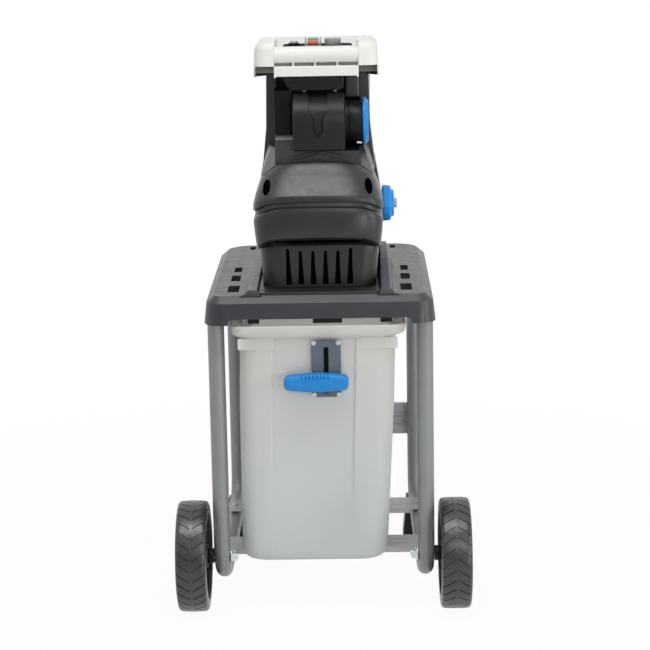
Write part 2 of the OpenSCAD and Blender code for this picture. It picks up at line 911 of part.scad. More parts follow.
// Tab under the plate behind the skirt, sloped in front to clear the bevel
module tab(x0, x1, y1) {
  along_x(x0, x1)
    polygon([[catch_y0, plate_z - tab_drop], [y1, plate_z - tab_drop], [y1, plate_z],
      [catch_y0 + tab_slope[0], plate_z], [catch_y0, plate_z - tab_slope[1]]]);
}

module interlock_catch() {
  placed()
    color("dimgray")
      difference() {
        tab(catch_x0, catch_x1, catch_y1);
        block(latch_x - tongue_half - catch_play, latch_x + tongue_half + catch_play, tongue_y0 - catch_play,
          tongue_y0 + tongue_t + catch_play, plate_z - tab_drop - cut, tongue_top + latch_travel + catch_play);
      }
}

module box_guides() {
  placed()
    color("dimgray")
      for (s = [-1, 1])
        tab(s * guide_x - guide_w / 2, s * guide_x + guide_w / 2, catch_y0 + guide_t);
}

// Tapered box outline with a round foot, from the foot ends to the top ends
module foot_outline(a0, a1, b0, b1, z_top, wall) {
  polygon([[a0 + base_round, box_z + wall], [a1 - base_round, box_z + wall], [a1 - wall, box_z + base_round],
    [b1 - wall, straight_z], [b1 - wall, z_top], [b0 + wall, z_top], [b0 + wall, straight_z],
    [a0 + wall, box_z + base_round]]);
  for (a = [a0 + base_round, a1 - base_round])
    translate([a, box_z + base_round])
      circle(base_round - wall);
}

// Box body, inset by a wall and open upward when the top is raised
module box_body(wall, top) {
  intersection() {
    along_y(body_y0 - cut, body_y1 + cut)
      foot_outline(-base_half, base_half, -body_half, body_half, top, wall);
    along_x(-rim_half, rim_half)
      foot_outline(base_y0, base_y1, body_y0, body_y1, top, wall);
    along_z(box_z, top)
      round_rect(-body_half + wall, body_y0 + wall, body_half - wall, body_y1 - wall, box_corner - wall);
  }
}

module box() {
  placed()
    translate([box_x, 0, 0])
      color("whitesmoke")
        difference() {
          union() {
            box_body(0, rim_z - rim_h + box_wall);
            along_z(rim_z - rim_h, rim_z)
              round_rect(-rim_half, rim_y0, rim_half, rim_y1, box_corner);
            intersection() {
              along_z(rim_z - rim_h - shoulder_h, rim_z - rim_h)
                round_rect(-body_half - shoulder_out, body_y0 - shoulder_out, body_half + shoulder_out,
                  body_y1 + shoulder_out, box_corner);
              union() {
                block(-rim_half, -shoulder_in, rim_y0, rim_y1, box_z, rim_z);
                block(shoulder_in, rim_half, rim_y0, rim_y1, box_z, rim_z);
              }
            }
          }
          box_body(box_wall, rim_z);
          along_z(rim_z - rim_h + box_wall, rim_z + cut)
            round_rect(-rim_half + box_wall, rim_y0 + box_wall, rim_half - box_wall, rim_y1 - box_wall,
              box_corner - box_wall);
          block(latch_x - box_x - slot_half, latch_x - box_x + slot_half, body_y0 - cut, body_y0 + 2 * box_wall,
            slot_z0, slot_z1);
          for (p = latch_screw_spots)
            rod_y(body_y0 - cut, body_y0 + 2 * box_wall, p[0] - box_x, p[1], latch_screw_r + seat_gap);
        }
}

module latch_plate() {
  placed()
    color("lightsteelblue")
      difference() {
        union() {
          block(latch_x - latch_half, latch_x + latch_half, latch_plate_y, body_y0, latch_z0, latch_z1);
          block(latch_x - slot_half - border, latch_x + slot_half + border, latch_plate_y - border_t, latch_plate_y,
            slot_z0 - border, slot_z1 + border);
        }
        block(latch_x - slot_half, latch_x + slot_half, latch_plate_y - far, body_y0 + cut, slot_z0, slot_z1);
        for (p = latch_screw_spots)
          rod_y(latch_plate_y - cut, body_y0 + cut, p[0], p[1], latch_screw_r + seat_gap);
      }
}

module latch_screws() {
  placed()
    color("gainsboro")
      for (p = latch_screw_spots) {
        rod_y(latch_plate_y - latch_head_t, latch_plate_y, p[0], p[1], latch_head_r);
        rod_y(latch_plate_y, body_y0 + 2 * box_wall, p[0], p[1], latch_screw_r);
      }
}

// Tongue behind the box front with a stem through the slot
module latch_slide() {
  placed()
    color("gray") {
      block(latch_x - tongue_half, latch_x + tongue_half, tongue_y0, tongue_y0 + tongue_t, stem_z0, tongue_top);
      block(latch_x - stem_half, latch_x + stem_half, grip_back_y - grip_t / 4, tongue_y0 + cut, stem_z0,
        stem_z0 + stem_h);
    }
}

// Tapered grip bar with finger ribs on top
module latch_grip() {
  z1 = grip_z0 + grip_h;
  placed()
    color("dodgerblue")
      difference() {
        union() {
          intersection() {
            along_y(grip_back_y - grip_t, grip_back_y)
              polygon([[latch_x - grip_left, grip_z0 + 10], [latch_x - grip_left + 12, grip_z0 + 2],
                [latch_x - 20, grip_z0], [latch_x + 14, grip_z0], [latch_x + grip_right, grip_z0 + 9],
                [latch_x + grip_right, z1 - 9], [latch_x + 14, z1 - 2], [latch_x - 20, z1 - 2],
                [latch_x - grip_left + 10, z1 - 6], [latch_x - grip_left, z1 - 12]]);
            along_x(latch_x - grip_left, latch_x + grip_right)
              polygon([[grip_back_y, grip_z0], [grip_back_y, z1], [grip_back_y - grip_t + 8, z1 - 2],
                [grip_back_y - grip_t, z1 - 9], [grip_back_y - grip_t, grip_z0 + 9],
                [grip_back_y - grip_t + 8, grip_z0]]);
          }
          for (i = [-3 : 3])
            block(latch_x - 10 + 7 * i, latch_x - 7 + 7 * i, grip_back_y - grip_t + 8, grip_back_y, z1 - 12, z1);
        }
        block(latch_x - stem_half, latch_x + stem_half, grip_back_y - grip_t / 4, grip_back_y + cut, stem_z0,
          stem_z0 + stem_h);
      }
}

// Lower motor housing with six tapered air slots
module vent_base() {
  z1 = deck_z + vent_top;
  placed()
    color("darkslategray")
      difference() {
        intersection() {
          along_y(vent_y0, cover_back)
            polygon([[-vent_half, deck_z], [vent_half, deck_z], [vent_half_top, z1], [-vent_half_top, z1]]);
          along_z(deck_z, z1)
            round_rect(-vent_half_top, vent_y0, vent_half_top, cover_back + 2 * corner_r, corner_r);
        }
        intersection() {
          along_y(vent_y0 + shell, cover_back + cut)
            polygon([[-vent_half + shell, deck_z - cut], [vent_half - shell, deck_z - cut],
              [vent_half_top - shell, z1 + cut], [-vent_half_top + shell, z1 + cut]]);
          along_z(deck_z - cut, z1 + cut)
            round_rect(-vent_half_top + shell, vent_y0 + shell, vent_half_top - shell, cover_back + 2 * corner_r,
              corner_r - shell);
        }
        for (i = [0 : slots - 1])
          translate([(i - (slots - 1) / 2) * slot_pitch, 0, deck_z])
            along_y(vent_y0 - cut, vent_y0 + 2 * shell)
              polygon([[-vent_slot_bottom, vent_slot_z0], [vent_slot_bottom, vent_slot_z0],
                [vent_slot_top, vent_slot_z1], [-vent_slot_top, vent_slot_z1]]);
      }
}

// Motor cover outline from its side, front and plan outlines
module cover_form(side, front, wall) {
  intersection() {
    along_x(-cover_half, cover_half)
      polygon(lifted(side, deck_z));
    along_y(cover_nose - cut, cover_back + cut)
      polygon(lifted(front, deck_z));
    along_z(deck_z, seam_z + far)
      round_rect(-cover_half + wall, cover_nose + wall, cover_half - wall, cover_back + 2 * cover_corner,
        cover_corner - wall);
  }
}

module motor_cover() {
  placed()
    color("darkslategray")
      difference() {
        union() {
          difference() {
            cover_form(cover_side, cover_front, 0);
            cover_form(cover_side_in, cover_front_in, shell);
          }
          intersection() {
            cover_form(cover_side, cover_front, 0);
            for (s = [-1, 1])
              rod_y(cover_nose, cover_back, s * boss_x, deck_z + boss_z, boss_r);
          }
        }
        for (s = [-1, 1]) {
          for (o = [0, recess_oval])
            rod_y(cover_nose, recess_end, s * (boss_x - o), deck_z + boss_z, recess_r);
          rod_y(recess_end - cut, cover_back + cut, s * boss_x, deck_z + boss_z, cover_screw_r + seat_gap);
        }
        block(-vent_half + shell, vent_half - shell, vent_y0 + shell, cover_back, deck_z + vent_top - cut,
          deck_z + vent_top + 2 * shell);
      }
}

module cover_screws() {
  placed()
    color("gainsboro")
      for (s = [-1, 1]) {
        rod_y(recess_end - cover_head_t, recess_end, s * boss_x, deck_z + boss_z, cover_head_r);
        rod_y(recess_end, recess_end + cover_screw_len, s * boss_x, deck_z + boss_z, cover_screw_r);
      }
}

module motor_can() {
  placed()
    color("silver")
      difference() {
        rod_y(motor_y0, cover_back, motor_x, motor_z, motor_r);
        rod_y(motor_y0 + can_wall, cover_back - can_wall, motor_x, motor_z, motor_r - can_wall);
        rod_y(motor_y0 - cut, cover_back + cut, motor_x, motor_z, rotor_r + run_fit);
      }
}

// Armature on its shaft with the motor pinion at the far end
module rotor() {
  placed()
    color("peru") {
      rod_y(motor_y0 - 16, stage_a_y + stage_a_w + 2 * pinion_over, motor_x, motor_z, rotor_r);
      rod_y(motor_y0 + 20, cover_back - 22, motor_x, motor_z, armature_r);
      gear(stage_a_y - pinion_over, stage_a_y + stage_a_w + pinion_over, motor_x, motor_z,
        dir_motor + 180 + 180 / pinion_a, gear_points(pinion_a, module_a, pinion_add, pinion_ded));
    }
}

module motor_fan() {
  y0 = motor_y0 - 16;
  placed()
    color("black")
      difference() {
        union() {
          rod_y(y0, y0 + 3, motor_x, motor_z, fan_r);
          rod_y(y0, y0 + 14, motor_x, motor_z, 2 * rotor_r);
          for (i = [0 : fan_blades - 1])
            translate([motor_x, 0, motor_z])
              rotate([0, 360 * i / fan_blades, 0])
                block(rotor_r + 3, fan_r - blade_in, y0 + 1, y0 + 13, -1, 1);
        }
        rod_y(y0 - cut, y0 + 14 + cut, motor_x, motor_z, rotor_r + run_fit);
      }
}

module gear_case() {
  placed()
    color("gray")
      difference() {
        along_y(cover_back, case_y1)
          polygon(lifted(case_front, deck_z));
        along_y(cover_back + case_wall, case_y1 - case_wall)
          polygon(lifted(case_front_in, deck_z));
        rod_y(cover_back - cut, cover_back + 2 * case_wall, motor_x, motor_z, 2 * rotor_r);
        rod_y(cover_back - cut, case_y1 + cut, lay_x, lay_z, lay_r + run_fit);
        rod_y(case_y1 - 2 * case_wall, case_y1 + cut, roller_x, roller_z, roller_shaft_r + run_fit);
        for (s = [-1, 1])
          rod_y(cover_back - cut, cover_back + 2 * case_wall, s * boss_x, deck_z + boss_z,
            cover_screw_r + seat_gap);
      }
}

// Lay shaft with the large first-stage gear and the second-stage pinion
module lay_gear() {
  placed()
    color("goldenrod") {
      rod_y(cover_back + cut, case_y1 - cut, lay_x, lay_z, lay_r);
      gear(stage_a_y, stage_a_y + stage_a_w, lay_x, lay_z, dir_motor,
        gear_points(gear_a, module_a, gear_add, gear_ded));
      gear(stage_b_y - pinion_over, stage_b_y + stage_b_w + pinion_over, lay_x, lay_z, dir_roller,
        gear_points(pinion_b, module_b, pinion_add, pinion_ded));
    }
}

module output_gear() {
  placed()
    color("goldenrod")
      difference() {
        gear(stage_b_y, stage_b_y + stage_b_w, roller_x, roller_z, dir_roller + 180 + 180 / gear_b,
          gear_points(gear_b, module_b, gear_add, gear_ded));
        rod_y(stage_b_y - cut, stage_b_y + stage_b_w + cut, roller_x, roller_z, roller_shaft_r + run_fit);
      }
}

module roller_shaft() {
  placed()
    color("silver")
      rod_y(stage_b_y - 8, bearing_far_y + bearing_w, roller_x, roller_z, roller_shaft_r);
}

// Saw-toothed roller, the hook face of each tooth toward the counter plate
module cutting_roller() {
  tip = roller_d / 2;
  step = 360 / roller_teeth;
  placed()
    color("slategray")
      translate([roller_x, 0, roller_z])
        along_y(cutter_mid - roller_len / 2, cutter_mid + roller_len / 2)
          difference() {
            polygon([for (i = [0 : roller_teeth - 1], p = [polar(tip, step * i), polar(gullet_r, step * i + step * 0.08),
              polar(gullet_r, step * i + step * 0.3), polar(tip - 4, step * i + step * 0.8),
              polar(tip, step * i + step * 0.9)]) p]);
            circle(roller_shaft_r + run_fit);
          }
}

module shaft_bearings() {
  placed()
    color("silver")
      difference() {
        for (y = [case_y1, bearing_far_y])
          rod_y(y, y + bearing_w, roller_x, roller_z, bearing_r);
        rod_y(case_y1 - cut, cutter_y1, roller_x, roller_z, roller_shaft_r + run_fit);
      }
}

// Housing of the roller, open upward to the hopper and downward to the box
module cutter_housing() {
  placed()
    color("darkslategray")
      difference() {
        along_y(case_y1, cutter_y1)
          polygon(lifted(cutter_front, deck_z));
        block(chamber_x0, chamber_x1, chamber_y0, chamber_y1, deck_z - cut, seam_z + cut);
        rod_y(case_y1 - cut, case_y1 + bearing_w, roller_x, roller_z, bearing_r + seat_gap);
        rod_y(bearing_far_y, cutter_y1 + cut, roller_x, roller_z, bearing_r + seat_gap);
        rod_y(case_y1 - cut, cutter_y1 + cut, roller_x, roller_z, roller_shaft_r + 2);
        rod_x(chamber_x1 - cut, far, cutter_mid, roller_z, spindle_r + run_fit);
      }
}

module counter_plate() {
  placed()
    color("lightgray")
      difference() {
        translate([0, 0, roller_z])
          along_y(chamber_y0 + seat_gap, chamber_y1 - seat_gap)
            polygon([[counter_x0, -counter_low], [counter_x1, -counter_low], [counter_x1, counter_high],
              [counter_x1 - 6, counter_high], [counter_x0, counter_low]]);
        rod_x(counter_x0 + 5, far, cutter_mid, roller_z, spindle_r + run_fit);
      }
}

module adjust_spindle() {
  placed()
    color("silver")
      rod_x(spindle_x0, spindle_x1, cutter_mid, roller_z, spindle_r);
}

module adjust_knob() {
  r = knob_d / 2;
  placed()
    color("dodgerblue")
      difference() {
        union() {
          rod_x(knob_x0, knob_x1, cutter_mid, roller_z, r);
          rod_x(knob_x1, knob_x2, cutter_mid, roller_z, r - knob_step);
        }
        rod_x(knob_x0 - cut, spindle_x1, cutter_mid, roller_z, spindle_r + run_fit);
        for (i = [0 : knob_notches - 1])
          translate([0, cutter_mid, roller_z])
            rotate([360 * i / knob_notches, 0, 0])
              rod_x(knob_x0 - cut, knob_x1 + cut, 0, r + 0.6, notch_r);
      }
}

module knob_cap() {
  placed()
    color("lightgray")
      rod_x(knob_x2, knob_x2 + cap_t, cutter_mid, roller_z, cap_r);
}

// Gables between the motor cover and the hinge block
module block_gables() {
  mid = (block_x0 + block_x1) / 2;
  for (g = gables)
    along_y(g[0], cover_back)
      polygon(lifted([[mid - g[1], cover_rise], [mid + g[1], cover_rise], [mid + g[1], g[2]], [mid, g[3]],
        [mid - g[1], g[2]]], deck_z));
  block(block_x0 + 14, block_x1 - 14, gables[0][0], cover_back, deck_z + cover_rise, deck_z + block_low + cut);
}

// Rounded hinge block on the motor cover with a pressed arrow-shaped recess
module block_form(r) {
  along_x(block_x0, block_x1) {
    translate([hinge_y, hinge_z])
      circle(r);
    translate([hinge_y - r, deck_z + block_low])
      square([2 * r, hinge_z - deck_z - block_low]);
  }
}

module hinge_block() {
  placed()
    color("darkslategray")
      difference() {
        union() {
          block_form(block_r);
          block_gables();
        }
        difference() {
          translate([(block_x0 + block_x1) / 2, 0, hinge_z])
            along_y(0, hinge_y)
              polygon(mark_y_top);
          block_form(block_r - mark_t);
        }
        rod_x(-far, far, hinge_y, hinge_z, pin_r + run_fit);
      }
}

module hinge_pin() {
  placed()
    color("silver")
      rod_x(ear_left + cut, hub_x1 - 2, hinge_y, hinge_z, pin_r);
}

module lock_hub() {
  placed()
    color("black")
      difference() {
        rod_x(hub_x0, hub_x1, hinge_y, hinge_z, hub_r2);
        rod_x(hub_x0 - cut, hub_x1 - 2, hinge_y, hinge_z, pin_r + run_fit);
      }
}

module lock_knob() {
  r = disc_d / 2;
  placed()
    color("dodgerblue")
      translate([hub_x1, hinge_y, hinge_z])
        rotate([0, 90, 0])
          rotate_extrude()
            polygon([[0, 0], [r - 1, 0], [r, 1], [r, 5], [r - 4, disc_x1 - hub_x1 - disc_edge],
              [r - 6, disc_x1 - hub_x1], [0, disc_x1 - hub_x1]]);
}

// Ear of the hopper on the hinge pin, reaching back to the recess wall
module hopper_ear(x0, x1, r, arm) {
  rod_x(x0, x1, hinge_y, hinge_z, r);
  block(x0, x1, hinge_y, wall_back + ear_reach, hinge_z - arm, hinge_z + arm);
}

module hopper() {
  placed()
    color("darkslategray")
      difference() {
        union() {
          difference() {
            intersection() {
              along_x(-far, far)
                polygon(lifted(hopper_side, seam_z));
              along_y(hopper_y0 - cut, far)
                polygon(lifted(hopper_front, seam_z));
            }
            along_x(-recess_half, recess_half)
              polygon(lifted(recess_side, seam_z));
          }
          hopper_ear(ear_left, block_x0 - ear_gap, ear_r_left, ear_arm_left);
          hopper_ear(block_x1 + ear_gap, ear_right, ear_r, ear_arm);
        }
        intersection() {
          along_x(-far, far)
            polygon(lifted(funnel_side, seam_z));
          along_y(hopper_y0, far)
            polygon(lifted(funnel_front, seam_z));
        }
        rod_x(-recess_half, recess_half, hinge_y, hinge_z, pin_r + run_fit);
      }
}

// White cap: console and handle slot in front, sloping rim of the feed mouth behind
module cap_form(side, front) {
  intersection() {
    along_x(-far, far)
      polygon(lifted(side, lip_z));
    along_y(cap_y0 - cut, far + 10)
      polygon(lifted(front, lip_z));
  }
}

module hopper_cap() {
  side_x = (console_half + cap_lip - cap_wall - 2) / 2;
  side_w = cap_lip - cap_wall - 2 - console_half;
  placed()
    color("white") {
      rod_x(-roll_half, roll_half, cap_y0 + roll_r, lip_z + roll_z, roll_r);
      difference() {
        union() {
          difference() {
            cap_form(cap_side, cap_front);
            cap_form(cap_side_in, cap_front_in);
          }
          intersection() {
            cap_form(cap_side, cap_front);
            block(-console_half, console_half, cap_y0, console_y1 + console_wall, console_z - console_wall, cap_z);
          }
        }
        block(-roll_half, roll_half, cap_y0 - cut, console_y0 + cut, lip_z + roll_z, cap_z + cut);
        block(-cap_lip + cap_wall, cap_lip - cap_wall, cap_y0 + cap_wall, hopper_y0, lip_z - cut, lip_z + 2 * cap_wall);
        block(-console_half + console_wall, console_half - console_wall, console_y0, console_y1, console_z, cap_z + cut);
        along_x(-mouth_half, mouth_half)
          polygon(lifted(mouth_side, lip_z));
        difference() {
          block(-hand_half, hand_half, cap_y0 - cut, cap_y0 + 2 * cap_wall, lip_z + hand_z0, lip_z + hand_z1);
          for (x = hand_ribs)
            block(x - hand_rib_t / 2, x + hand_rib_t / 2, cap_y0 - cut, cap_y0 + far, lip_z, cap_z);
        }
        for (s = [-1, 1])
          translate([s * side_x, 0, 0])
            block(-side_w / 2, side_w / 2, cap_y0 - cut, cap_y0 + 2 * cap_wall, lip_z - cut, lip_z + panel_lip_z);
      }
    }
}

module switch_panel() {
  placed()
    color("dimgray")
      difference() {
        union() {
          along_z(console_z, panel_z)
            round_rect(panel_x0, panel_y0, panel_x1, panel_y1, panel_corner);
          rod_z(panel_z, panel_z + reset_ring_h, reset_x, switch_y, reset_r + reset_ring);
        }
        rod_z(panel_z, panel_z + far, reset_x, switch_y, reset_r + seat_gap);
      }
}

module switch_box() {
  z1 = console_z - console_wall;
  placed()
    color("darkslategray")
      difference() {
        block(swbox_x0, swbox_x1, swbox_y0, swbox_y1, z1 - swbox_drop, z1);
        block(swbox_x0 + shell, swbox_x1 - shell, swbox_y0 + shell, swbox_y1 - shell, z1 - swbox_drop + shell, z1 + cut);
        for (x = swbox_screws)
          rod_z(z1 - swbox_drop - cut, z1, x, swbox_screw_y, latch_screw_r + seat_gap);
      }
}

module switch_box_screws() {
  z0 = console_z - console_wall - swbox_drop;
  placed()
    color("gainsboro")
      for (x = swbox_screws) {
        rod_z(z0 - latch_head_t, z0, x, swbox_screw_y, latch_head_r);
        rod_z(z0, z0 + screw_len, x, swbox_screw_y, latch_screw_r);
      }
}

// Frame of the on/off switch with two side guards
module switch_frame() {
  placed()
    color("black")
      difference() {
        union() {
          block(switch_x - switch_w / 2, switch_x + switch_w / 2, switch_y - switch_d / 2, switch_y + switch_d / 2,
            panel_z, panel_z + switch_h);
          for (s = [-1, 1])
            translate([switch_x + s * (switch_w - guard_t) / 2, 0, 0])
              block(-guard_t / 2, guard_t / 2, switch_y - switch_d / 2, switch_y + switch_d / 2, panel_z,
                panel_z + guard_h);
        }
        for (s = [-1, 1])
          translate([switch_x, switch_y + s * (button_d + button_split) / 2, 0])
            block(-button_w / 2 - seat_gap, button_w / 2 + seat_gap, -button_d / 2 - seat_gap, button_d / 2 + seat_gap,
              panel_z - cut, cap_z + far);
      }
}

module switch_button(s) {
  translate([switch_x, switch_y + s * (button_d + button_split) / 2, 0])
    block(-button_w / 2, button_w / 2, -button_d / 2, button_d / 2, panel_z + button_travel + 1,
      panel_z + button_travel + 1 + button_h);
}

module button_on() {
  placed()
    color("limegreen")
      switch_button(1);
}

module button_off() {
  placed()
    color("red")
      switch_button(-1);
}

// Reset push button standing in the panel
module reset_button() {
  placed()
    color("silver")
      rod_z(panel_z + button_travel, panel_z + reset_h, reset_x, switch_y, reset_r);
}

module direction_knob() {
  placed()
    color("gray")
      difference() {
        rod_z(panel_z + seat_gap, panel_z + selector_h, selector_x, switch_y, selector_r);
        for (i = [0 : selector_ribs - 1])
          translate([selector_x, switch_y, 0])
            rotate(360 * i / selector_ribs)
              rod_z(panel_z, panel_z + far, selector_r + 0.5, 0, 1.2);
      }
}

frame_left();
frame_right();
cross_bar_front();
cross_bar_rear();
rear_brace();
bar_screws();
foot_left();
foot_right();
platform();
leg_screws();
axle_bolts();
axle_nuts();
axle_spacers();
wheel_left();
tyre_left();
wheel_right();
tyre_right();
interlock_catch();
box_guides();
box();
latch_plate();
latch_screws();
latch_slide();
latch_grip();
vent_base();
motor_cover();
cover_screws();
motor_can();
rotor();
motor_fan();
gear_case();
lay_gear();
output_gear();
roller_shaft();
cutting_roller();
shaft_bearings();
cutter_housing();
counter_plate();
adjust_spindle();
adjust_knob();
knob_cap();
hinge_block();
hinge_pin();
lock_hub();
lock_knob();
hopper();
hopper_cap();
switch_panel();
switch_box();
switch_box_screws();
switch_frame();
button_on();
button_off();
reset_button();
direction_knob();
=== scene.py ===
import math

import bmesh
import bpy
from mathutils import Matrix, Vector


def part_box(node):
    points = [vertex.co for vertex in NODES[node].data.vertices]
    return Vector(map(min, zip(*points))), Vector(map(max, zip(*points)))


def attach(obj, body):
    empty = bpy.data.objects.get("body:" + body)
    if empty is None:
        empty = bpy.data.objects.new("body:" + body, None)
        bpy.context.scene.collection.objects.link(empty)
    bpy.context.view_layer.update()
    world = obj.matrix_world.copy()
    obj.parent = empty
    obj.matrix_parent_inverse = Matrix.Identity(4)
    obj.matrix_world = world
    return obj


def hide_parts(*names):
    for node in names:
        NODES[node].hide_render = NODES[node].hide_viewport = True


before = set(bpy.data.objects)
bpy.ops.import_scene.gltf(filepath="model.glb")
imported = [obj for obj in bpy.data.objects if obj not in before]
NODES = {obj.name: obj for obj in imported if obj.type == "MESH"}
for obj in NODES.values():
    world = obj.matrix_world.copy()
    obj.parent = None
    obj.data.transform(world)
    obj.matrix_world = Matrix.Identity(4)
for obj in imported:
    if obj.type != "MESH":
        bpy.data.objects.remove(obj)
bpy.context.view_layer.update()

MM = 0.001


# Sizes taken from the frame, in millimetres. The drawing frame has y = 0 at the wheel axle.
def span(node):
    lo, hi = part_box(node)
    return lo / MM, hi / MM


TYRE_LO, TYRE_HI = span("tyre_left")
AXLE_Y = (TYRE_LO.y + TYRE_HI.y) / 2
AXLE_Z = (TYRE_LO.z + TYRE_HI.z) / 2


def box_of(node):
    lo, hi = span(node)
    shift = Vector((0, AXLE_Y, 0))
    return lo - shift, hi - shift


def at(x, y, z):
    return Vector((x, y + AXLE_Y, z)) * MM


DECK_Z = box_of("vent_base")[0].z
SEAM_Z = box_of("hopper")[0].z
CAP_LO, CAP_HI = box_of("hopper_cap")
CAP_Z = CAP_HI.z
LIP_Z = CAP_Z - 61
BOX_LO, BOX_HI = box_of("box")

# Points closer than this are one, in new pieces and in kept ones
WELD = 0.0005
KEPT_WELD = 0.002
# Faces of kept pieces that meet at less than this many degrees are one
FLAT_ANGLE = 0.6
# How far a cutting shape reaches past what it cuts
PAST = 5


# Mesh helpers
def add_object(name, data):
    obj = bpy.data.objects.new(name, data)
    bpy.context.scene.collection.objects.link(obj)
    return obj


def tidy_mesh(obj):
    bm = bmesh.new()
    bm.from_mesh(obj.data)
    bmesh.ops.remove_doubles(bm, verts=bm.verts, dist=WELD * MM)
    bmesh.ops.dissolve_degenerate(bm, edges=bm.edges, dist=WELD * MM)
    bmesh.ops.recalc_face_normals(bm, faces=bm.faces)
    bm.to_mesh(obj.data)
    bm.free()


def mesh_piece(name, points, faces):
    mesh = bpy.data.meshes.new(name)
    mesh.from_pydata([at(*p) for p in points], [], faces)
    obj = add_object(name, mesh)
    tidy_mesh(obj)
    return obj


def loft(name, rings, ends=True, closed=True):
    count = len(rings[0])
    points = [p for ring in rings for p in ring]
    faces = []
    for i in range(len(rings) - 1):
        for j in range(count if closed else count - 1):
            k = (j + 1) % count
            faces.append((i * count + j, i * count + k, (i + 1) * count + k, (i + 1) * count + j))
    if ends:
        last = (len(rings) - 1) * count
        faces.append(tuple(range(count)))
        faces.append(tuple(last + j for j in range(count)))
    return mesh_piece(name, points, faces)


def lift(axis, u, v, w):
    return {"x": (w, u, v), "y": (u, w, v), "z": (u, v, w)}[axis]


def prism(name, outline, axis, a, b):
    return loft(name, [[lift(axis, u, v, w) for u, v in outline] for w in (a, b)])


def revolve(name, profile, axis, centre, steps=72):
    rings = []
    for i in range(steps + 1):
        turn = 2 * math.pi * i / steps
        u, v = math.cos(turn), math.sin(turn)
        rings.append([lift(axis, centre[0] + r * u, centre[1] + r * v, h) for r, h in profile])
    return loft(name, rings, ends=False, closed=False)


def rod(name, r, axis, centre, a, b, steps=72):
    return revolve(name, ((0, a), (r, a), (r, b), (0, b)), axis, centre, steps)


def arc(cx, cy, r, start, stop, steps=8):
    turns = [math.radians(start + (stop - start) * i / steps) for i in range(steps + 1)]
    return [(cx + r * math.cos(t), cy + r * math.sin(t)) for t in turns]


def rect(x0, y0, x1, y1):
    return [(x0, y0), (x1, y0), (x1, y1), (x0, y1)]


def round_box(x0, y0, x1, y1, r, steps=6):
    return (arc(x1 - r, y1 - r, r, 0, 90, steps) + arc(x0 + r, y1 - r, r, 90, 180, steps)
            + arc(x0 + r, y0 + r, r, 180, 270, steps) + arc(x1 - r, y0 + r, r, 270, 360, steps))


def wider(x0, y0, x1, y1, by):
    return x0 - by, y0 - by, x1 + by, y1 + by


# Sine or cosine bent towards a squarer section
def squarer(value, power):
    return math.copysign(abs(value) ** power, value)


def combine(obj, tool, operation):
    mod = obj.modifiers.new("shape", "BOOLEAN")
    mod.solver = "EXACT"
    mod.operation = operation
    mod.object = tool
    graph = bpy.context.evaluated_depsgraph_get()
    mesh = bpy.data.meshes.new_from_object(obj.evaluated_get(graph))
    obj.modifiers.clear()
    obj.data = mesh
    bpy.data.objects.remove(tool)
    tidy_mesh(obj)
    return obj


def cut(obj, tool):
    return combine(obj, tool, "DIFFERENCE")


def fuse(obj, tool):
    return combine(obj, tool, "UNION")


def soften(obj, width, steps=2, angle=30):
    mod = obj.modifiers.new("edges", "BEVEL")
    mod.width = width * MM
    mod.segments = steps
    mod.limit_method = "ANGLE"
    mod.angle_limit = math.radians(angle)
    mod.harden_normals = True


def finish_piece(obj, look, body, slot, *nodes, crease=38):
    obj.data.materials.clear()
    obj.data.materials.append(LOOKS[look])
    obj.data.shade_smooth()
    obj.data.set_sharp_from_angle(angle=math.radians(crease))
    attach(obj, body)
    if nodes:
        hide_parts(*nodes)


# A CAD node that keeps its shape gets softened edges and its finish
def keep(node, look, edge):
    obj = NODES[node]
    for old in obj.material_slots:
        old.material = LOOKS[look]
    weld = obj.modifiers.new("weld", "WELD")
    weld.merge_threshold = KEPT_WELD * MM
    flat = obj.modifiers.new("flat", "DECIMATE")
    flat.decimate_type = "DISSOLVE"
    flat.angle_limit = math.radians(FLAT_ANGLE)
    soften(obj, edge)


# Shader helpers: an input gets a link from another node or a plain value
def feed(tree, node, inputs):
    for name, value in inputs.items():
        if isinstance(value, bpy.types.NodeSocket):
            tree.links.new(value, node.inputs[name])
        else:
            node.inputs[name].default_value = value


def add_node(tree, kind, inputs, output):
    node = tree.nodes.new("ShaderNode" + kind)
    feed(tree, node, inputs)
    return node.outputs[output]


def shader(name):
    material = bpy.data.materials.new(name)
    material.use_nodes = True
    tree = material.node_tree
    return material, tree, tree.nodes["Principled BSDF"]


def place_of(tree, kind="Object"):
    return add_node(tree, "TexCoord", {}, kind)


def axis_of(tree, vector, axis):
    return add_node(tree, "SeparateXYZ", {"Vector": vector}, axis)


def noise(tree, scale, detail):
    return add_node(tree, "TexNoise", {"Scale": scale, "Detail": detail, "Vector": place_of(tree)}, "Fac")


def ramp(tree, value, low, high, out_low, out_high):
    inputs = {"Value": value, "From Min": low, "From Max": high, "To Min": out_low, "To Max": out_high}
    return add_node(tree, "MapRange", inputs, "Result")


# Most of what the noise gives lies in this span
NOISE_LOW = 0.3
NOISE_HIGH = 0.7


def patches(tree, scale, detail, low, high):
    return ramp(tree, noise(tree, scale, detail), NOISE_LOW, NOISE_HIGH, low, high)


def maths(tree, operation, first, second):
    node = tree.nodes.new("ShaderNodeMath")
    node.operation = operation
    feed(tree, node, {0: first, 1: second})
    return node.outputs["Value"]


def blend_colour(tree, value, first, second):
    node = tree.nodes.new("ShaderNodeMix")
    node.data_type = "RGBA"
    feed(tree, node, {"Factor": value, "A": (*first, 1), "B": (*second, 1)})
    return node.outputs["Result"]


GRAIN_DEEP = 0.2


def bump(tree, height, strength):
    inputs = {"Height": height, "Strength": strength, "Distance": GRAIN_DEEP * MM}
    return add_node(tree, "Bump", inputs, "Normal")


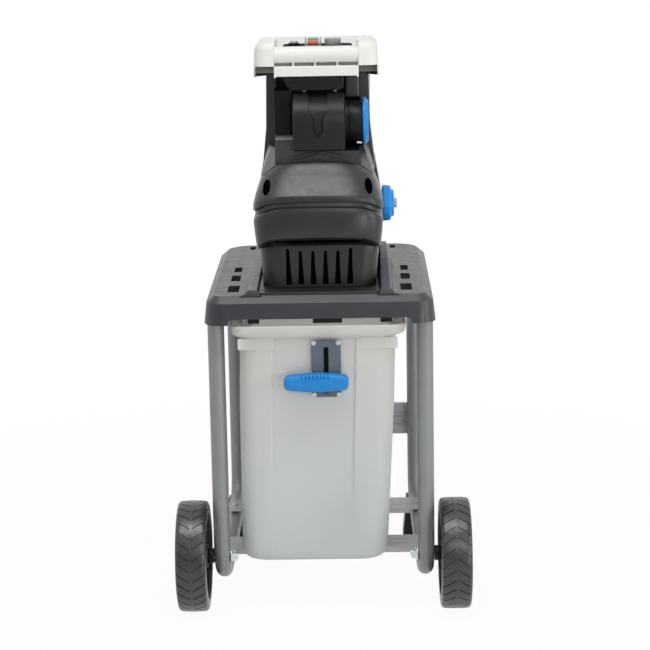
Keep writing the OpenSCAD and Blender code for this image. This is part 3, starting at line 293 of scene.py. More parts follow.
def blend_shaders(tree, share, first, second, output):
    mix = add_node(tree, "MixShader", {"Fac": share, 1: first, 2: second}, "Shader")
    feed(tree, tree.nodes[output], {"Surface": mix})


# Materials: a base colour that drifts a little in patches, a fine grain and uneven gloss.
# The texture holds drift, patch scale, strength of the grain, grain scale and drift of the gloss.
def surface(name, colour, rough, texture, metallic=0.0, specular=0.5):
    drift, patch, grain, grain_scale, gloss_drift = texture
    material, tree, bsdf = shader(name)
    dark = tuple(c * (1 - drift) for c in colour)
    light = tuple(min(1, c * (1 + drift)) for c in colour)
    feed(tree, bsdf, {
        "Base Color": blend_colour(tree, patches(tree, patch, 3, 0, 1), dark, light),
        "Roughness": patches(tree, patch * 3, 2, rough - gloss_drift, rough + gloss_drift),
        "Normal": bump(tree, noise(tree, grain_scale, 1), grain),
        "Metallic": metallic,
        "Specular IOR Level": specular,
    })
    return material


# Milky plastic: cool low down and warm high up, the cool tint being painted shade of the bars behind the box,
# and it lets some light through
MILK_PATCHES = 0.2
MILK_ROUGH = 0.5
MILK_GLOSS_DRIFT = 0.05
MILK_GRAIN = 0.06
MILK_PASSES = 0.5
MILK_IOR = 1.3


def milky(name, cool, warm, low, high):
    material, tree, bsdf = shader(name)
    height = axis_of(tree, place_of(tree), "Z")
    rise = ramp(tree, height, low * MM, high * MM, 0, 1 - MILK_PATCHES)
    warmth = maths(tree, "ADD", rise, patches(tree, 9, 3, 0, MILK_PATCHES))
    feed(tree, bsdf, {
        "Base Color": blend_colour(tree, warmth, cool, warm),
        "Roughness": patches(tree, 60, 2, MILK_ROUGH - MILK_GLOSS_DRIFT, MILK_ROUGH + MILK_GLOSS_DRIFT),
        "Normal": bump(tree, noise(tree, 500, 2), MILK_GRAIN),
        "Transmission Weight": MILK_PASSES,
        "IOR": MILK_IOR,
    })
    return material


# Finishes as (colour, roughness, texture, metallic, specular)
FINISHES = {
    "frame_steel": ((0.258, 0.268, 0.273), 0.40, (0.05, 14, 0.05, 1400, 0.05), 0.3, 0.35),
    "bar_steel": ((0.46, 0.47, 0.475), 0.42, (0.06, 14, 0.06, 1400, 0.05), 0.3),
    # Zinc screws darkened to near black: painted shade in their recesses
    "screw_steel_painted_shade": ((0.02, 0.02, 0.02), 0.4, (0.1, 60, 0.08, 900, 0.05), 0.3, 0.2),
    "zinc": ((0.62, 0.66, 0.68), 0.28, (0.12, 90, 0.1, 900, 0.08), 0.9),
    "black_plastic": ((0.008, 0.008, 0.008), 0.42, (0.1, 40, 0.16, 1700, 0.05), 0, 0.2),
    "platform_plastic": ((0.021, 0.0225, 0.028), 0.37, (0.08, 25, 0.2, 1500, 0.05), 0, 0.66),
    "wheel_plastic": ((0.016, 0.016, 0.016), 0.45, (0.1, 40, 0.12, 1700, 0.05), 0, 0.45),
    "tyre": ((0.012, 0.0118, 0.0116), 0.32, (0.22, 30, 0.25, 1300, 0.07), 0, 0.85),
    "latch_plastic": ((0.10, 0.125, 0.155), 0.38, (0.05, 40, 0.1, 1700, 0.05)),
    # Near black for the latch slide seen through the slot: painted shade
    "slide_plastic": ((0.004, 0.004, 0.0045), 0.5, (0.1, 40, 0.1, 1700, 0.05), 0, 0.12),
    "blue_plastic": ((0.012, 0.225, 0.60), 0.4, (0.05, 40, 0.14, 1700, 0.05), 0, 0.35),
    # Blue plastic lightened for the knob: painted light
    "knob_plastic_painted_light": ((0.016, 0.30, 0.82), 0.4, (0.05, 40, 0.14, 1700, 0.05), 0, 0.35),
    "housing_plastic": ((0.012, 0.012, 0.0115), 0.35, (0.1, 26, 0.16, 1500, 0.04), 0, 0.56),
    "recess_plastic": ((0.017, 0.017, 0.017), 0.36, (0.1, 26, 0.14, 1500, 0.04), 0, 0.2),
    # Housing plastic made lighter: partly the hopper's own tone, partly painted light on the saddle and the
    # right wall of the recess
    "hopper_plastic_painted_light": ((0.040, 0.040, 0.039), 0.36, (0.1, 26, 0.16, 1500, 0.04), 0, 0.45),
    # Housing plastic darkened to near black: painted shade on the left wall of the recess
    "liner_plastic_painted_shade": ((0.008, 0.008, 0.008), 0.5, (0.1, 26, 0.14, 1500, 0.04), 0, 0.1),
    # Dark paint of the motor can, made near black as painted shade seen through the vent slots
    "motor_steel": ((0.012, 0.012, 0.012), 0.6, (0.08, 30, 0.08, 900, 0.06), 0, 0.3),
    "rotor_steel": ((0.5, 0.45, 0.4), 0.32, (0.1, 60, 0.08, 900, 0.06), 0.9),
    "fan_plastic": ((0.02, 0.02, 0.02), 0.5, (0.1, 40, 0.1, 1500, 0.06)),
    # Aluminium case coloured near black: painted shade seen through the vent slots
    "case_aluminium": ((0.010, 0.010, 0.010), 0.7, (0.08, 60, 0.2, 500, 0.06), 0, 0.15),
    "gear_steel": ((0.46, 0.46, 0.48), 0.3, (0.08, 60, 0.08, 900, 0.06), 0.95),
    "shaft_steel": ((0.56, 0.56, 0.58), 0.22, (0.06, 60, 0.05, 900, 0.05), 1.0),
    "roller_steel": ((0.36, 0.36, 0.37), 0.4, (0.12, 50, 0.15, 700, 0.08), 0.95),
    "counter_aluminium": ((0.6, 0.6, 0.61), 0.4, (0.06, 60, 0.12, 700, 0.06), 0.9),
    "light_plastic": ((0.5, 0.52, 0.55), 0.45, (0.05, 40, 0.1, 1700, 0.06)),
    "white_plastic": ((0.78, 0.78, 0.745), 0.42, (0.025, 20, 0.1, 1500, 0.04), 0, 0.3),
    # White plastic darkened to beige grey: painted shade of the cap's inside
    "white_plastic_painted_shade": ((0.24, 0.235, 0.19), 0.6, (0.06, 20, 0.1, 1500, 0.04), 0, 0.1),
    "panel_plastic": ((0.014, 0.0145, 0.0145), 0.7, (0.08, 40, 0.15, 1700, 0.05), 0, 0.03),
    "green_plastic": ((0.16, 0.46, 0.27), 0.42, (0.05, 40, 0.08, 1700, 0.06)),
    "red_plastic": ((0.78, 0.07, 0.08), 0.42, (0.05, 40, 0.08, 1700, 0.06)),
    "silver_plastic": ((0.45, 0.46, 0.47), 0.35, (0.05, 40, 0.08, 1700, 0.05), 0.5),
    "grey_plastic": ((0.30, 0.31, 0.31), 0.45, (0.05, 40, 0.1, 1700, 0.06)),
}
LOOKS = {look: surface(look.replace("_", " "), *finish) for look, finish in FINISHES.items()}
LOOKS["box_plastic"] = milky("milky box", (0.815, 0.84, 0.85), (0.83, 0.82, 0.78), 250, 480)


# Tyre: chevron grooves on a grid that is sheared along them
TREAD_PITCHES = 32
GROOVE_DEPTH = 1.5
CHEVRON_RISE = 0.66
CHEVRON_REACH = 25
# Round one pitch as (share of the pitch, whether the groove is there)
GROOVE_STEPS = ((0.0, 0), (0.03, 1), (0.10, 1), (0.13, 0), (0.42, 0), (0.71, 0))
# Half profile as (distance from the middle, drop below the tread, share of the groove depth)
TREAD_ROWS = ((0, 0, 0), (1.6, 0.02, 0), (2.2, 0.03, 0), (2.8, 0.04, 1), (12, 0.3, 1), (17, 0.6, 1),
              (20.5, 1.0, 1), (22.6, 1.9, 1), (24.3, 3.6, 1), (25.4, 6.2, 0.5), (26, 10, 0), (26, 19, 0),
              (25, 24, 0))


def tyre(side):
    node, body = f"tyre_{side}", f"wheel_{side}_set"
    lo, hi = box_of(node)
    middle, outer = (lo.x + hi.x) / 2, (hi.z - lo.z) / 2
    rim_lo, rim_hi = box_of(f"wheel_{side}")
    inner = (rim_hi.z - rim_lo.z) / 2
    half = [(x, outer - drop, share) for x, drop, share in TREAD_ROWS if outer - drop > inner]
    half.append((TREAD_ROWS[-1][0], inner, 0))
    rise = CHEVRON_RISE if side == "left" else -CHEVRON_RISE
    rows = [(-x, r, share) for x, r, share in reversed(half)] + half[1:]
    rings = []
    for i in range(TREAD_PITCHES):
        for phase, depth in GROOVE_STEPS:
            ring = []
            for x, r, share in rows:
                shear = rise * min(abs(x), CHEVRON_REACH) / outer
                turn = 2 * math.pi * (i + phase) / TREAD_PITCHES + shear
                radius = r - GROOVE_DEPTH * depth * share
                ring.append((middle + x, -radius * math.cos(turn), AXLE_Z + radius * math.sin(turn)))
            rings.append(ring)
    rings.append(rings[0])
    obj = loft(node + "_tread", rings, ends=False)
    finish_piece(obj, "tyre", body, "tyre", node, crease=24)


# Collection box: tapered milky shell with a rolled rim, shoulder pads and a recessed front panel
BOX_X = (BOX_LO.x + BOX_HI.x) / 2
BOX_WALL = 2.5
BOX_CORNER = 30
FOOT_TALL = 23
FOOT_INSET = 18
FOOT_STEPS = 6
# Half width, front and back at the floor, and how far each moves up to the end of the taper
TAPER_FLOOR = (124, -20, 350)
TAPER_GROWTH = (6, -18, 12)
TAPER_TOP = 370
RIM_HALF = (BOX_HI.x - BOX_LO.x) / 2
RIM_Z = BOX_HI.z - 21
PANEL_LEFT = -77
PANEL_RIGHT = 58
PANEL_EDGE = 3.5
PANEL_DEEP = 3.0
# Half the least width of the front that stays flat between the corners
FLAT_HALF = 66
PAD_Z = BOX_HI.z - 41
PAD_TALL = 19
PAD_HALF = 133
PAD_FRONT = -39.6
PAD_BACK = -34
# The box hangs a little askew: shift of its floor to the left
BOX_LEAN = -12


def box_ring(z, half, front, back, dent, wall):
    radius = min(BOX_CORNER, half - FLAT_HALF) - wall
    half, front, back = half - wall, front + wall, back - wall
    xl, xr = PANEL_LEFT - BOX_X, PANEL_RIGHT - BOX_X
    face = [(-half + radius, 0), (xl - PANEL_EDGE, 0), (xl, dent), (0, dent), (xr, dent),
            (xr + PANEL_EDGE, 0)]
    points = [(x, front + d) for x, d in face]
    points += arc(half - radius, front + radius, radius, 270, 360)
    points += arc(half - radius, back - radius, radius, 0, 90)
    points += arc(-half + radius, back - radius, radius, 90, 180)
    points += arc(-half + radius, front + radius, radius, 180, 270)[:-1]
    lean = BOX_LEAN * (BOX_HI.z - z) / (BOX_HI.z - BOX_LO.z)
    return [(BOX_X + lean + x, y, z) for x, y in points]


def box_taper(z):
    share = min(1, (z - BOX_LO.z) / (TAPER_TOP - BOX_LO.z))
    return [size + growth * share for size, growth in zip(TAPER_FLOOR, TAPER_GROWTH)]


# Rows of the box from its floor up, as (height, half width, front, back, depth of the panel)
def box_rows():
    rows = []
    for i in range(FOOT_STEPS + 1):
        turn = math.radians(90 * i / FOOT_STEPS)
        z = BOX_LO.z + FOOT_TALL * (1 - math.cos(turn))
        inset = FOOT_INSET * (1 - math.sin(turn))
        half, front, back = box_taper(z)
        rows.append((z, half - inset, front + inset, back - inset, 0))
    for z in (180, 280, TAPER_TOP, 440, 448):
        rows.append((z, *box_taper(z), PANEL_DEEP))
    half, front, back = box_taper(RIM_Z)
    top = BOX_HI.z
    rim = ((RIM_Z - 6, half, 0, 1), (RIM_Z - 3, half + 1, 0.5, 0.6), (RIM_Z, half + 3.5, 2, 0),
           (RIM_Z + 2, half + 10, 5, 0), (RIM_Z + 5, half + 15, 7, 0), (top - 5, RIM_HALF, 8, 0),
           (top - 1.6, RIM_HALF - 0.3, 7.7, 0), (top, RIM_HALF - 1.8, 6.2, 0))
    rows += [(z, wide, front - out, back + out, PANEL_DEEP * dent) for z, wide, out, dent in rim]
    return rows


def collection_box():
    shell = loft("collection_box", [box_ring(*row, 0) for row in box_rows()])
    inside = []
    for z, *row in box_rows():
        lifted = z + BOX_WALL if z < TAPER_TOP else z
        inside.append(box_ring(lifted, *row, BOX_WALL))
    inside.append([(x, y, BOX_HI.z + 2) for x, y, z in inside[-1]])
    cut(shell, loft("box_inside", inside))
    for x0, x1 in ((BOX_X - PAD_HALF, PANEL_LEFT + 1), (PANEL_RIGHT + 10, BOX_X + PAD_HALF)):
        pad = round_box(x0, PAD_Z, x1, PAD_Z + PAD_TALL, 3)
        fuse(shell, prism("pad", pad, "y", PAD_FRONT, PAD_BACK))
    finish_piece(shell, "box_plastic", "box_set", "box_plastic", "box", crease=30)


# Latch plate with a flanged slot
SLOT_HALF = 4.1
SLOT_FLANGE = 2.0
FLANGE_PROUD = 1.2


def latch_plate():
    lo, hi = box_of("latch_plate")
    mid = (lo.x + hi.x) / 2
    plate = prism("latch_plate_face", round_box(lo.x, lo.z, hi.x, hi.z, 3), "y", lo.y, hi.y)
    slot = (mid - SLOT_HALF, lo.z + 6, mid + SLOT_HALF, hi.z - 11)
    flange = round_box(*wider(*slot, SLOT_FLANGE), 1.5)
    fuse(plate, prism("flange", flange, "y", lo.y - FLANGE_PROUD, lo.y + 0.5))
    cut(plate, prism("slot", round_box(*slot, 1), "y", lo.y - PAST, hi.y + PAST))
    soften(plate, 0.5)
    finish_piece(plate, "latch_plastic", "box_set", "latch_plastic", "latch_plate")


# Latch grip: a bar that swells to the middle and bends back at its ends, with finger grooves on top
GRIP_STATIONS = 28
GRIP_SIDES = 24
GRIP_TALL = 16
GRIP_SQUARE = 0.6
GRIP_BEND = 3.5
GRIP_GROOVES = 8
GROOVE_PITCH = 6.2
GROOVE_HALF = 1.1
FIRST_GROOVE = -24


def latch_grip():
    lo, hi = box_of("latch_grip")
    mid_x, half = (lo.x + hi.x) / 2, (hi.x - lo.x) / 2
    mid_z = (lo.z + hi.z) / 2
    rings = []
    for i in range(GRIP_STATIONS + 1):
        u = -1 + 2 * i / GRIP_STATIONS
        bulge = 1 - 0.30 * abs(u) ** 2.2
        end = min(1, (1 - abs(u)) / 0.07)
        close = math.sqrt(max(0, 1 - (1 - end) ** 2)) * 0.45 + 0.55
        tall = GRIP_TALL * bulge * close
        deep = (hi.y - lo.y) / 2 * (0.62 + 0.38 * close)
        mid_y = min(lo.y + deep + GRIP_BEND * u ** 2, hi.y - deep)
        ring = []
        for c, s in arc(0, 0, 1, 0, 360, GRIP_SIDES)[:-1]:
            y, z = deep * squarer(c, GRIP_SQUARE), tall * squarer(s, GRIP_SQUARE)
            ring.append((mid_x + half * u, mid_y + y, mid_z + z))
        rings.append(ring)
    grip = loft("latch_grip_body", rings)
    for i in range(GRIP_GROOVES):
        x = mid_x + FIRST_GROOVE + i * GROOVE_PITCH
        groove = round_box(x - GROOVE_HALF, mid_z + 7, x + GROOVE_HALF, mid_z + 20, 1)
        cut(grip, prism("groove", groove, "y", lo.y - 2, lo.y + 4))
    finish_piece(grip, "blue_plastic", "latch_set", "blue_plastic", "latch_grip", crease=32)


# Motor cover: rows as (height above the deck, half width, front, share of the arch drop)
COVER_ROWS = ((85, 98, 4, 0.6), (85.5, 101, -17, 0.6), (88, 102, -29, 0.6), (93, 103, -35.3, 0.58),
              (100, 104.3, -37.5, 0.56), (115, 106, -37.8, 0.56), (130, 107.3, -37.6, 0.6),
              (138, 107.6, -37, 0.66), (141.6, 107.3, -35.8, 0.68), (143.2, 106.6, -33.4, 0.68),
              (144.2, 105.4, -30.4, 0.64), (150.2, 104.8, -28.6, 0.56), (151, 106, -31, 0.56),
              (152, 107.4, -33, 0.56), (153.4, 108, -33.6, 0.56), (160.6, 107.6, -33, 0.5),
              (162.2, 107.2, -32, 0.5), (163.8, 106.6, -30.6, 0.48), (172, 104, -23.2, 0.42),
              (183, 99.2, -13.4, 0.36), (190, 96.2, -7.2, 0.32), (193.6, 94.2, -3.6, 0.3),
              (195.8, 93, -1.4, 0.28), (201.4, 87, 3.6, 0.27), (206.2, 80.6, 7.9, 0.27),
              (209.2, 76, 10.8, 0.27), (210.8, 71, 13.4, 0.27), (210, 66, 30, 0.27), (208.6, 60, 50, 0.27))
# The last rows make the lid, which is solid
LID_ROWS = 7
COVER_BACK = 112
COVER_CORNER = 54
COVER_DROP = 34
COVER_WALL = 3.5
COVER_SQUARE = 0.62
COVER_STEPS = 40
SCREW_X = 84
RECESS_Z = 173
RECESS_R = 6.2
RECESS_TALL = 1.9
RECESS_LEAN = 0.3


def cover_ring(z, half, front, share, back):
    turn_y = min(front + COVER_CORNER, back - 2)
    points = [(-half, back)]
    for c, s in arc(0, 0, 1, 0, 180, COVER_STEPS):
        points.append((-half * squarer(c, COVER_SQUARE), turn_y - abs(s) ** COVER_SQUARE * (turn_y - front)))
    points.append((half, back))
    ring = []
    for x, y in points:
        k = abs(x) / half
        drop = COVER_DROP * (0.1 * k ** 2 + 0.9 * k ** 6) * share
        ring.append((x, y, DECK_Z + z - drop))
    return ring


# Oval recess of a cover screw, which leans to the middle at its top
def screw_recess(side):
    x, z = side * SCREW_X, DECK_Z + RECESS_Z
    recess = rod("recess", RECESS_R, "y", (x, z), -40, 60, 32)
    stretch = Matrix.Identity(4)
    stretch[0][2] = -side * RECESS_LEAN
    stretch[2][2] = RECESS_TALL
    recess.data.transform(Matrix.Translation(at(x, 0, z)) @ stretch @ Matrix.Translation(-at(x, 0, z)))
    return recess


def motor_cover():
    outer = [cover_ring(*row, COVER_BACK) for row in COVER_ROWS]
    cover = loft("motor_cover_skin", outer)
    inner = []
    for z, half, front, share in COVER_ROWS[1:-LID_ROWS]:
        inner.append(cover_ring(z, half - COVER_WALL, front + COVER_WALL, share, COVER_BACK + PAST))
    inner[0] = [(x, y, z - 12) for x, y, z in inner[0]]
    cut(cover, loft("cover_inside", inner))
    for side in (-1, 1):
        cut(cover, screw_recess(side))
    finish_piece(cover, "housing_plastic", "chassis", "housing_plastic", "motor_cover", crease=34)


# Slotted lower housing with round-topped tapered slots, of which the outer two reach higher
VENT_CORNER = 28
VENT_WALL = 3
VENT_FOOT_HALF = 95
VENT_FLARE = 6
VENT_RAKE = 3
# Rows as (share of the height, how far the front dips back)
VENT_ROWS = ((0, 0), (0.25, 0), (0.5, 0), (0.75, 0), (0.9, 0), (0.96, 1.2), (1, 4))
VENT_SLOTS = 6
VENT_PITCH = 21
VENT_LOW = 5
VENT_TOP = 62
VENT_LOW_HALF = 5
VENT_TOP_R = 2.4
OUTER_RISE = 4.5
VENT_LEAN = 0.03


def vent_ring(z, half, front, back):
    points = [(-half, back)]
    points += arc(-half + VENT_CORNER, front + VENT_CORNER, VENT_CORNER, 180, 270, 12)
    points += arc(half - VENT_CORNER, front + VENT_CORNER, VENT_CORNER, 270, 360, 12)
    points.append((half, back))
    return [(x, y, z) for x, y in points]


def vent_slot(i, low):
    x = (i - (VENT_SLOTS - 1) / 2) * VENT_PITCH
    foot = x * (1 - VENT_LEAN)
    top = low + VENT_TOP + (OUTER_RISE if i in (0, VENT_SLOTS - 1) else 0)
    outline = [(foot - VENT_LOW_HALF, low + VENT_LOW), (foot + VENT_LOW_HALF, low + VENT_LOW)]
    return outline + arc(x, top - VENT_TOP_R, VENT_TOP_R, 0, 180)


def vent_base():
    lo, hi = box_of("vent_base")
    rows = []
    for share, dip in VENT_ROWS:
        half = VENT_FOOT_HALF + VENT_FLARE * share - dip / 4
        rows.append((lo.z + (hi.z - lo.z) * share, half, lo.y + VENT_RAKE * (1 - share) + dip))
    base = loft("vent_base_skin", [vent_ring(z, half, front, hi.y) for z, half, front in rows])
    inner = [vent_ring(z, half - VENT_WALL, front + VENT_WALL, hi.y + PAST) for z, half, front in rows]
    inner[0] = [(x, y, z - 2) for x, y, z in inner[0]]
    inner[-1] = [(x, y, z + 2) for x, y, z in inner[-1]]
    cut(base, loft("vent_inside", inner))
    for i in range(VENT_SLOTS):
        cut(base, prism("slot", vent_slot(i, lo.z), "y", lo.y - 10, lo.y + 40))
    soften(base, 0.8)
    finish_piece(base, "housing_plastic", "chassis", "housing_plastic", "vent_base", crease=30)


# White cap: a shell with rounded front corners, a rolled front edge, a hand slot and a bar below it
CAP_FRONT = CAP_LO.y
CAP_TAIL = CAP_HI.y
CAP_WALL = 3
CAP_BEND = 169
CAP_TAIL_DROP = 152
CAP_SLOPE = CAP_TAIL_DROP / (CAP_TAIL - CAP_BEND)
# How far the sloping top lies lower inside, for each millimetre of wall
SLOPE_DROP = 1.24
CAP_TOP_HALF = 101.3
CAP_LIP_HALF = 104.8
CAP_TAIL_HALF = 90.5
CAP_CORNER = 20
CAP_NOSE = 13
NOSE_STEPS = 7
# Half width of the shapes that trim the whole cap
CAP_TRIM = 130
SIDE_EDGE_Z = LIP_Z + 21.5
SIDE_EDGE_HALF = 101.6
CONSOLE_HALF = 71
CONSOLE_FRONT = 62
CONSOLE_BACK = 161
CONSOLE_Z = CAP_Z - 11
MOUTH_FRONT = 200
MOUTH_BACK = 376
MOUTH_HALF = 80
ROLL_LEFT = -69.5
ROLL_RIGHT = 70.5
ROLL_R = 13.9
ROLL_Z = LIP_Z + 39.2
BAR_Z = LIP_Z + 4.4
BAR_TALL = 16.8
BAR_WALL = 4
SLOT_RIBS = (-38, -1.5, 35.5)
SLOT_RIB_HALF = 1.6


def cap_ring(z, half, inset):
    half -= inset
    front = CAP_FRONT + inset
    r = max(7, CAP_CORNER - 0.5 * inset)
    outline = arc(half - r, front + r, r, 270, 360) + [(half, CAP_TAIL + 20), (-half, CAP_TAIL + 20)]
    outline += arc(-half + r, front + r, r, 180, 270)
    return [(x, y, z) for x, y in outline]


# Round-edged box of the cap, grown inward by a wall and cut off along its slope
def cap_form(wall):
    tail = CAP_TAIL_HALF - wall
    rings = [cap_ring(LIP_Z - 115, tail, wall), cap_ring(LIP_Z - 0.5 + wall, tail, wall),
             cap_ring(LIP_Z + wall, CAP_LIP_HALF, wall)]
    nose = CAP_NOSE - wall
    for i in range(NOSE_STEPS + 1):
        turn = math.radians(90 * i / NOSE_STEPS)
        z = CAP_Z - CAP_NOSE + nose * math.sin(turn)
        half = CAP_LIP_HALF + (CAP_TOP_HALF - CAP_LIP_HALF) * (z - LIP_Z) / (CAP_Z - LIP_Z)
        rings.append(cap_ring(z, half, wall + nose * (1 - math.cos(turn))))
    form = loft("cap_form", rings)
    slant = CAP_Z - SLOPE_DROP * wall
    near, far = CAP_BEND - 40, CAP_TAIL + 60
    over = [(near, slant + 40 * CAP_SLOPE), (near, CAP_Z + 90), (far, CAP_Z + 90),
            (far, slant - CAP_TAIL_DROP - 60 * CAP_SLOPE)]
    cut(form, prism("over", over, "x", -CAP_TRIM, CAP_TRIM))
    end, end_z = CAP_TAIL - wall, CAP_Z - CAP_TAIL_DROP
    under = [(0, LIP_Z - 200), (0, LIP_Z + 4.5 - 20 * wall), (120, LIP_Z + 2 - 20 * wall),
             (215, LIP_Z - 14 * wall), (end - 10, end_z - 15 - 3 * wall), (end, end_z - 2 * wall),
             (end, CAP_Z), (far, CAP_Z), (far, LIP_Z - 200)]
    return cut(form, prism("under", under, "x", -CAP_TRIM, CAP_TRIM))


# Section of the front roll, the hand slot and the bar, with the distance from the cap's front
def roll_section():
    top = BAR_Z + BAR_TALL
    section = [(1.2, BAR_Z), (0.2, BAR_Z + 1), (0.2, top - 1.2), (1.4, top), (23.8, top), (23.8, ROLL_Z - 10)]
    section += arc(ROLL_R, ROLL_Z, ROLL_R, 250, 90, 16)
    section += [(22, ROLL_Z + 11), (26, ROLL_Z + 8.5), (26, BAR_Z + BAR_WALL), (4, BAR_Z + BAR_WALL),
                (3.4, BAR_Z)]
    return [(CAP_FRONT + y, z) for y, z in section]


# Console floor behind the front roll, and the room that the switches stand in
def cap_console(shell):
    floor_block = round_box(-CONSOLE_HALF, CONSOLE_FRONT, CONSOLE_HALF, CONSOLE_BACK + CAP_WALL, 3)
    fuse(shell, prism("console", floor_block, "z", CONSOLE_Z - CAP_WALL, CAP_Z - 1))
    back = box_of("switch_panel")[1].y + 2
    near, high = CONSOLE_FRONT - 8, CAP_Z + PAST
    room = [(near, CONSOLE_Z), (back, CONSOLE_Z), (CONSOLE_BACK, CAP_Z + 0.5), (CONSOLE_BACK, high),
            (near, high)]
    cut(shell, prism("console_room", room, "x", CAP_WALL - CONSOLE_HALF, CONSOLE_HALF - CAP_WALL))


# Openings of the cap: filling mouth, room of the roll and the raised front edge beside it
def cap_openings(shell):
    tail = CAP_Z - 31 - (MOUTH_BACK - MOUTH_FRONT) * CAP_SLOPE
    high = CAP_Z + 30
    mouth = [(MOUTH_FRONT, high), (MOUTH_FRONT, CAP_Z - 40), (MOUTH_BACK, tail), (MOUTH_BACK, high)]
    cut(shell, prism("mouth", mouth, "x", -MOUTH_HALF, MOUTH_HALF))
    near, low = CAP_FRONT - PAST, LIP_Z - 40
    front_room = rect(near, low, CAP_FRONT + 19, CAP_Z + PAST)
    cut(shell, prism("front_room", front_room, "x", ROLL_LEFT, ROLL_RIGHT))
    edge_room = rect(near, low, CAP_FRONT + 26, SIDE_EDGE_Z)
    for x0, x1 in ((-SIDE_EDGE_HALF, ROLL_LEFT + 1), (ROLL_RIGHT - 1, SIDE_EDGE_HALF)):
        cut(shell, prism("edge_room", edge_room, "x", x0, x1))


def hopper_cap():
    shell = cut(cap_form(0), cap_form(CAP_WALL))
    cap_console(shell)
    cap_openings(shell)
    cheek = [(4, SIDE_EDGE_Z), (20, SIDE_EDGE_Z), (20, CAP_Z - 2), (12, CAP_Z - 2), (4, CAP_Z - 8)]
    for x in (ROLL_LEFT - CAP_WALL, ROLL_RIGHT):
        fuse(shell, prism("cheek", [(CAP_FRONT + y, z) for y, z in cheek], "x", x, x + CAP_WALL))
    soften(shell, 0.9)
    finish_piece(shell, "white_plastic", "hopper_set", "white_plastic", "hopper_cap", crease=34)


# Front roll with its bar, ribs in the hand slot and an end flange on each side
def cap_roll():
    roll = prism("cap_roll", roll_section(), "x", ROLL_LEFT, ROLL_RIGHT)
    low, high = LIP_Z + 20, LIP_Z + 31
    rib = [(CAP_FRONT + 5, low), (CAP_FRONT + 8, high), (CAP_FRONT + 25, high), (CAP_FRONT + 25, low)]
    for x in SLOT_RIBS:
        fuse(roll, prism("rib", rib, "x", x - SLOT_RIB_HALF, x + SLOT_RIB_HALF))
    flange = rect(CAP_FRONT + 0.6, LIP_Z + 2.6, CAP_FRONT + 20, low)
    for x in (ROLL_LEFT, ROLL_RIGHT - CAP_WALL):
        fuse(roll, prism("flange", flange, "x", x, x + CAP_WALL))
    soften(roll, 0.6)
    finish_piece(roll, "white_plastic", "hopper_set", "white_plastic", crease=40)


# Inside of the cap seen below its front edge, left and right of the roll: white plastic plates darkened to
# beige grey with painted shade
LINER_HALF = 102


def cap_liner():
    back = CAP_FRONT + 34
    for x0, x1 in ((-LINER_HALF, ROLL_LEFT), (ROLL_RIGHT, LINER_HALF)):
        plate = prism("cap_liner", rect(back, LIP_Z + 8, back + 3, LIP_Z + 34), "x", x0, x1)
        finish_piece(plate, "white_plastic_painted_shade", "hopper_set", "white_plastic")


# Hinge block: round top, a shallow fold down the middle of its face and an arrow-shaped recess
BLOCK_LEFT = -40
BLOCK_RIGHT = 46
BLOCK_R = 48
BLOCK_Z = DECK_Z + 229
BLOCK_EDGE = 1.2
HINGE_Y = 70
HINGE_Z = box_of("hinge_block")[1].z - BLOCK_R
FOLD_X = 3
FOLD_LEAD = -4.5
ARROW_DEEP = 4.5


# Arrow outline as (x, z), grown by a draft
def arrow_outline(grow):
    left = [(-13.5, 60), (-13.5, 21 - grow / 2), (-4.5, 9 - grow / 2), (-4.5, -11 - grow / 2)]
    right = [(8.5, -11 - grow / 2), (8.5, 9 - grow / 2), (18, 21 - grow / 2), (18, 60)]
    outline = [(x - grow, z) for x, z in left] + [(FOLD_X - 0.8, -19 - 1.4 * grow)]
    outline += [(x + grow, z) for x, z in right]
    return [(x, HINGE_Z + z) for x, z in outline]


# Section of the block at x, whose face leads the round top by some millimetres
def block_section(x, r, low, lead):
    face = HINGE_Y - r + lead
    section = [(HINGE_Y + r, low), (face + 5, low), (face + 2, low + 1)]
    for y, z in arc(HINGE_Y, HINGE_Z, r, 180, 0, 18):
        forward = max(0, (HINGE_Y - y) / r)
        section.append((y + lead * forward ** 2, z))
    return [(x, y, z) for y, z in section]


def hinge_block():
    rings = []
    rows = ((BLOCK_LEFT, BLOCK_EDGE, 0), (BLOCK_LEFT + BLOCK_EDGE, 0, 0), (FOLD_X, 0, FOLD_LEAD),
            (BLOCK_RIGHT - BLOCK_EDGE, 0, 0), (BLOCK_RIGHT, BLOCK_EDGE, 0))
    for x, trim, lead in rows:
        rings.append(block_section(x, BLOCK_R - trim, BLOCK_Z + trim, lead))
    block = loft("hinge_block_body", rings)
    r, low = BLOCK_R - ARROW_DEEP, BLOCK_Z - PAST
    core = [(HINGE_Y + r, low), (HINGE_Y - r - 2, low)] + arc(HINGE_Y, HINGE_Z, r, 180, 0, 18)
    front = HINGE_Y - BLOCK_R
    drafts = ((front - 12, 3.4), (front - 4, 2.4), (front + 1, 0), (HINGE_Y + 30, 0))
    arrow = loft("arrow", [[(x, y, z) for x, z in arrow_outline(grow)] for y, grow in drafts])
    cut(arrow, prism("core", core, "x", -60, 60))
    cut(block, arrow)
    soften(block, 0.5, 2, 40)
    finish_piece(block, "recess_plastic", "chassis", "housing_plastic", "hinge_block", crease=30)


# Saddle behind the motor cover, with heights above the deck
SADDLE_FRONT = 42
SADDLE_BACK = 111
SADDLE_HALF = 70.5
SADDLE_Z = 196
SADDLE_MID = 226
LEDGE_LEFT = 238
LEDGE_RIGHT = 225
LEDGE_Z = 241
LEDGE_R = 12
LINER_FRONT = 57
# Gables as (front, half width, eaves, ridge)
GABLES = ((38, 69, 211.7, 226.2), (32, 44, 210.5, 222.5))
SHOULDER_Z = 188
SHOULDER_TOP = 231


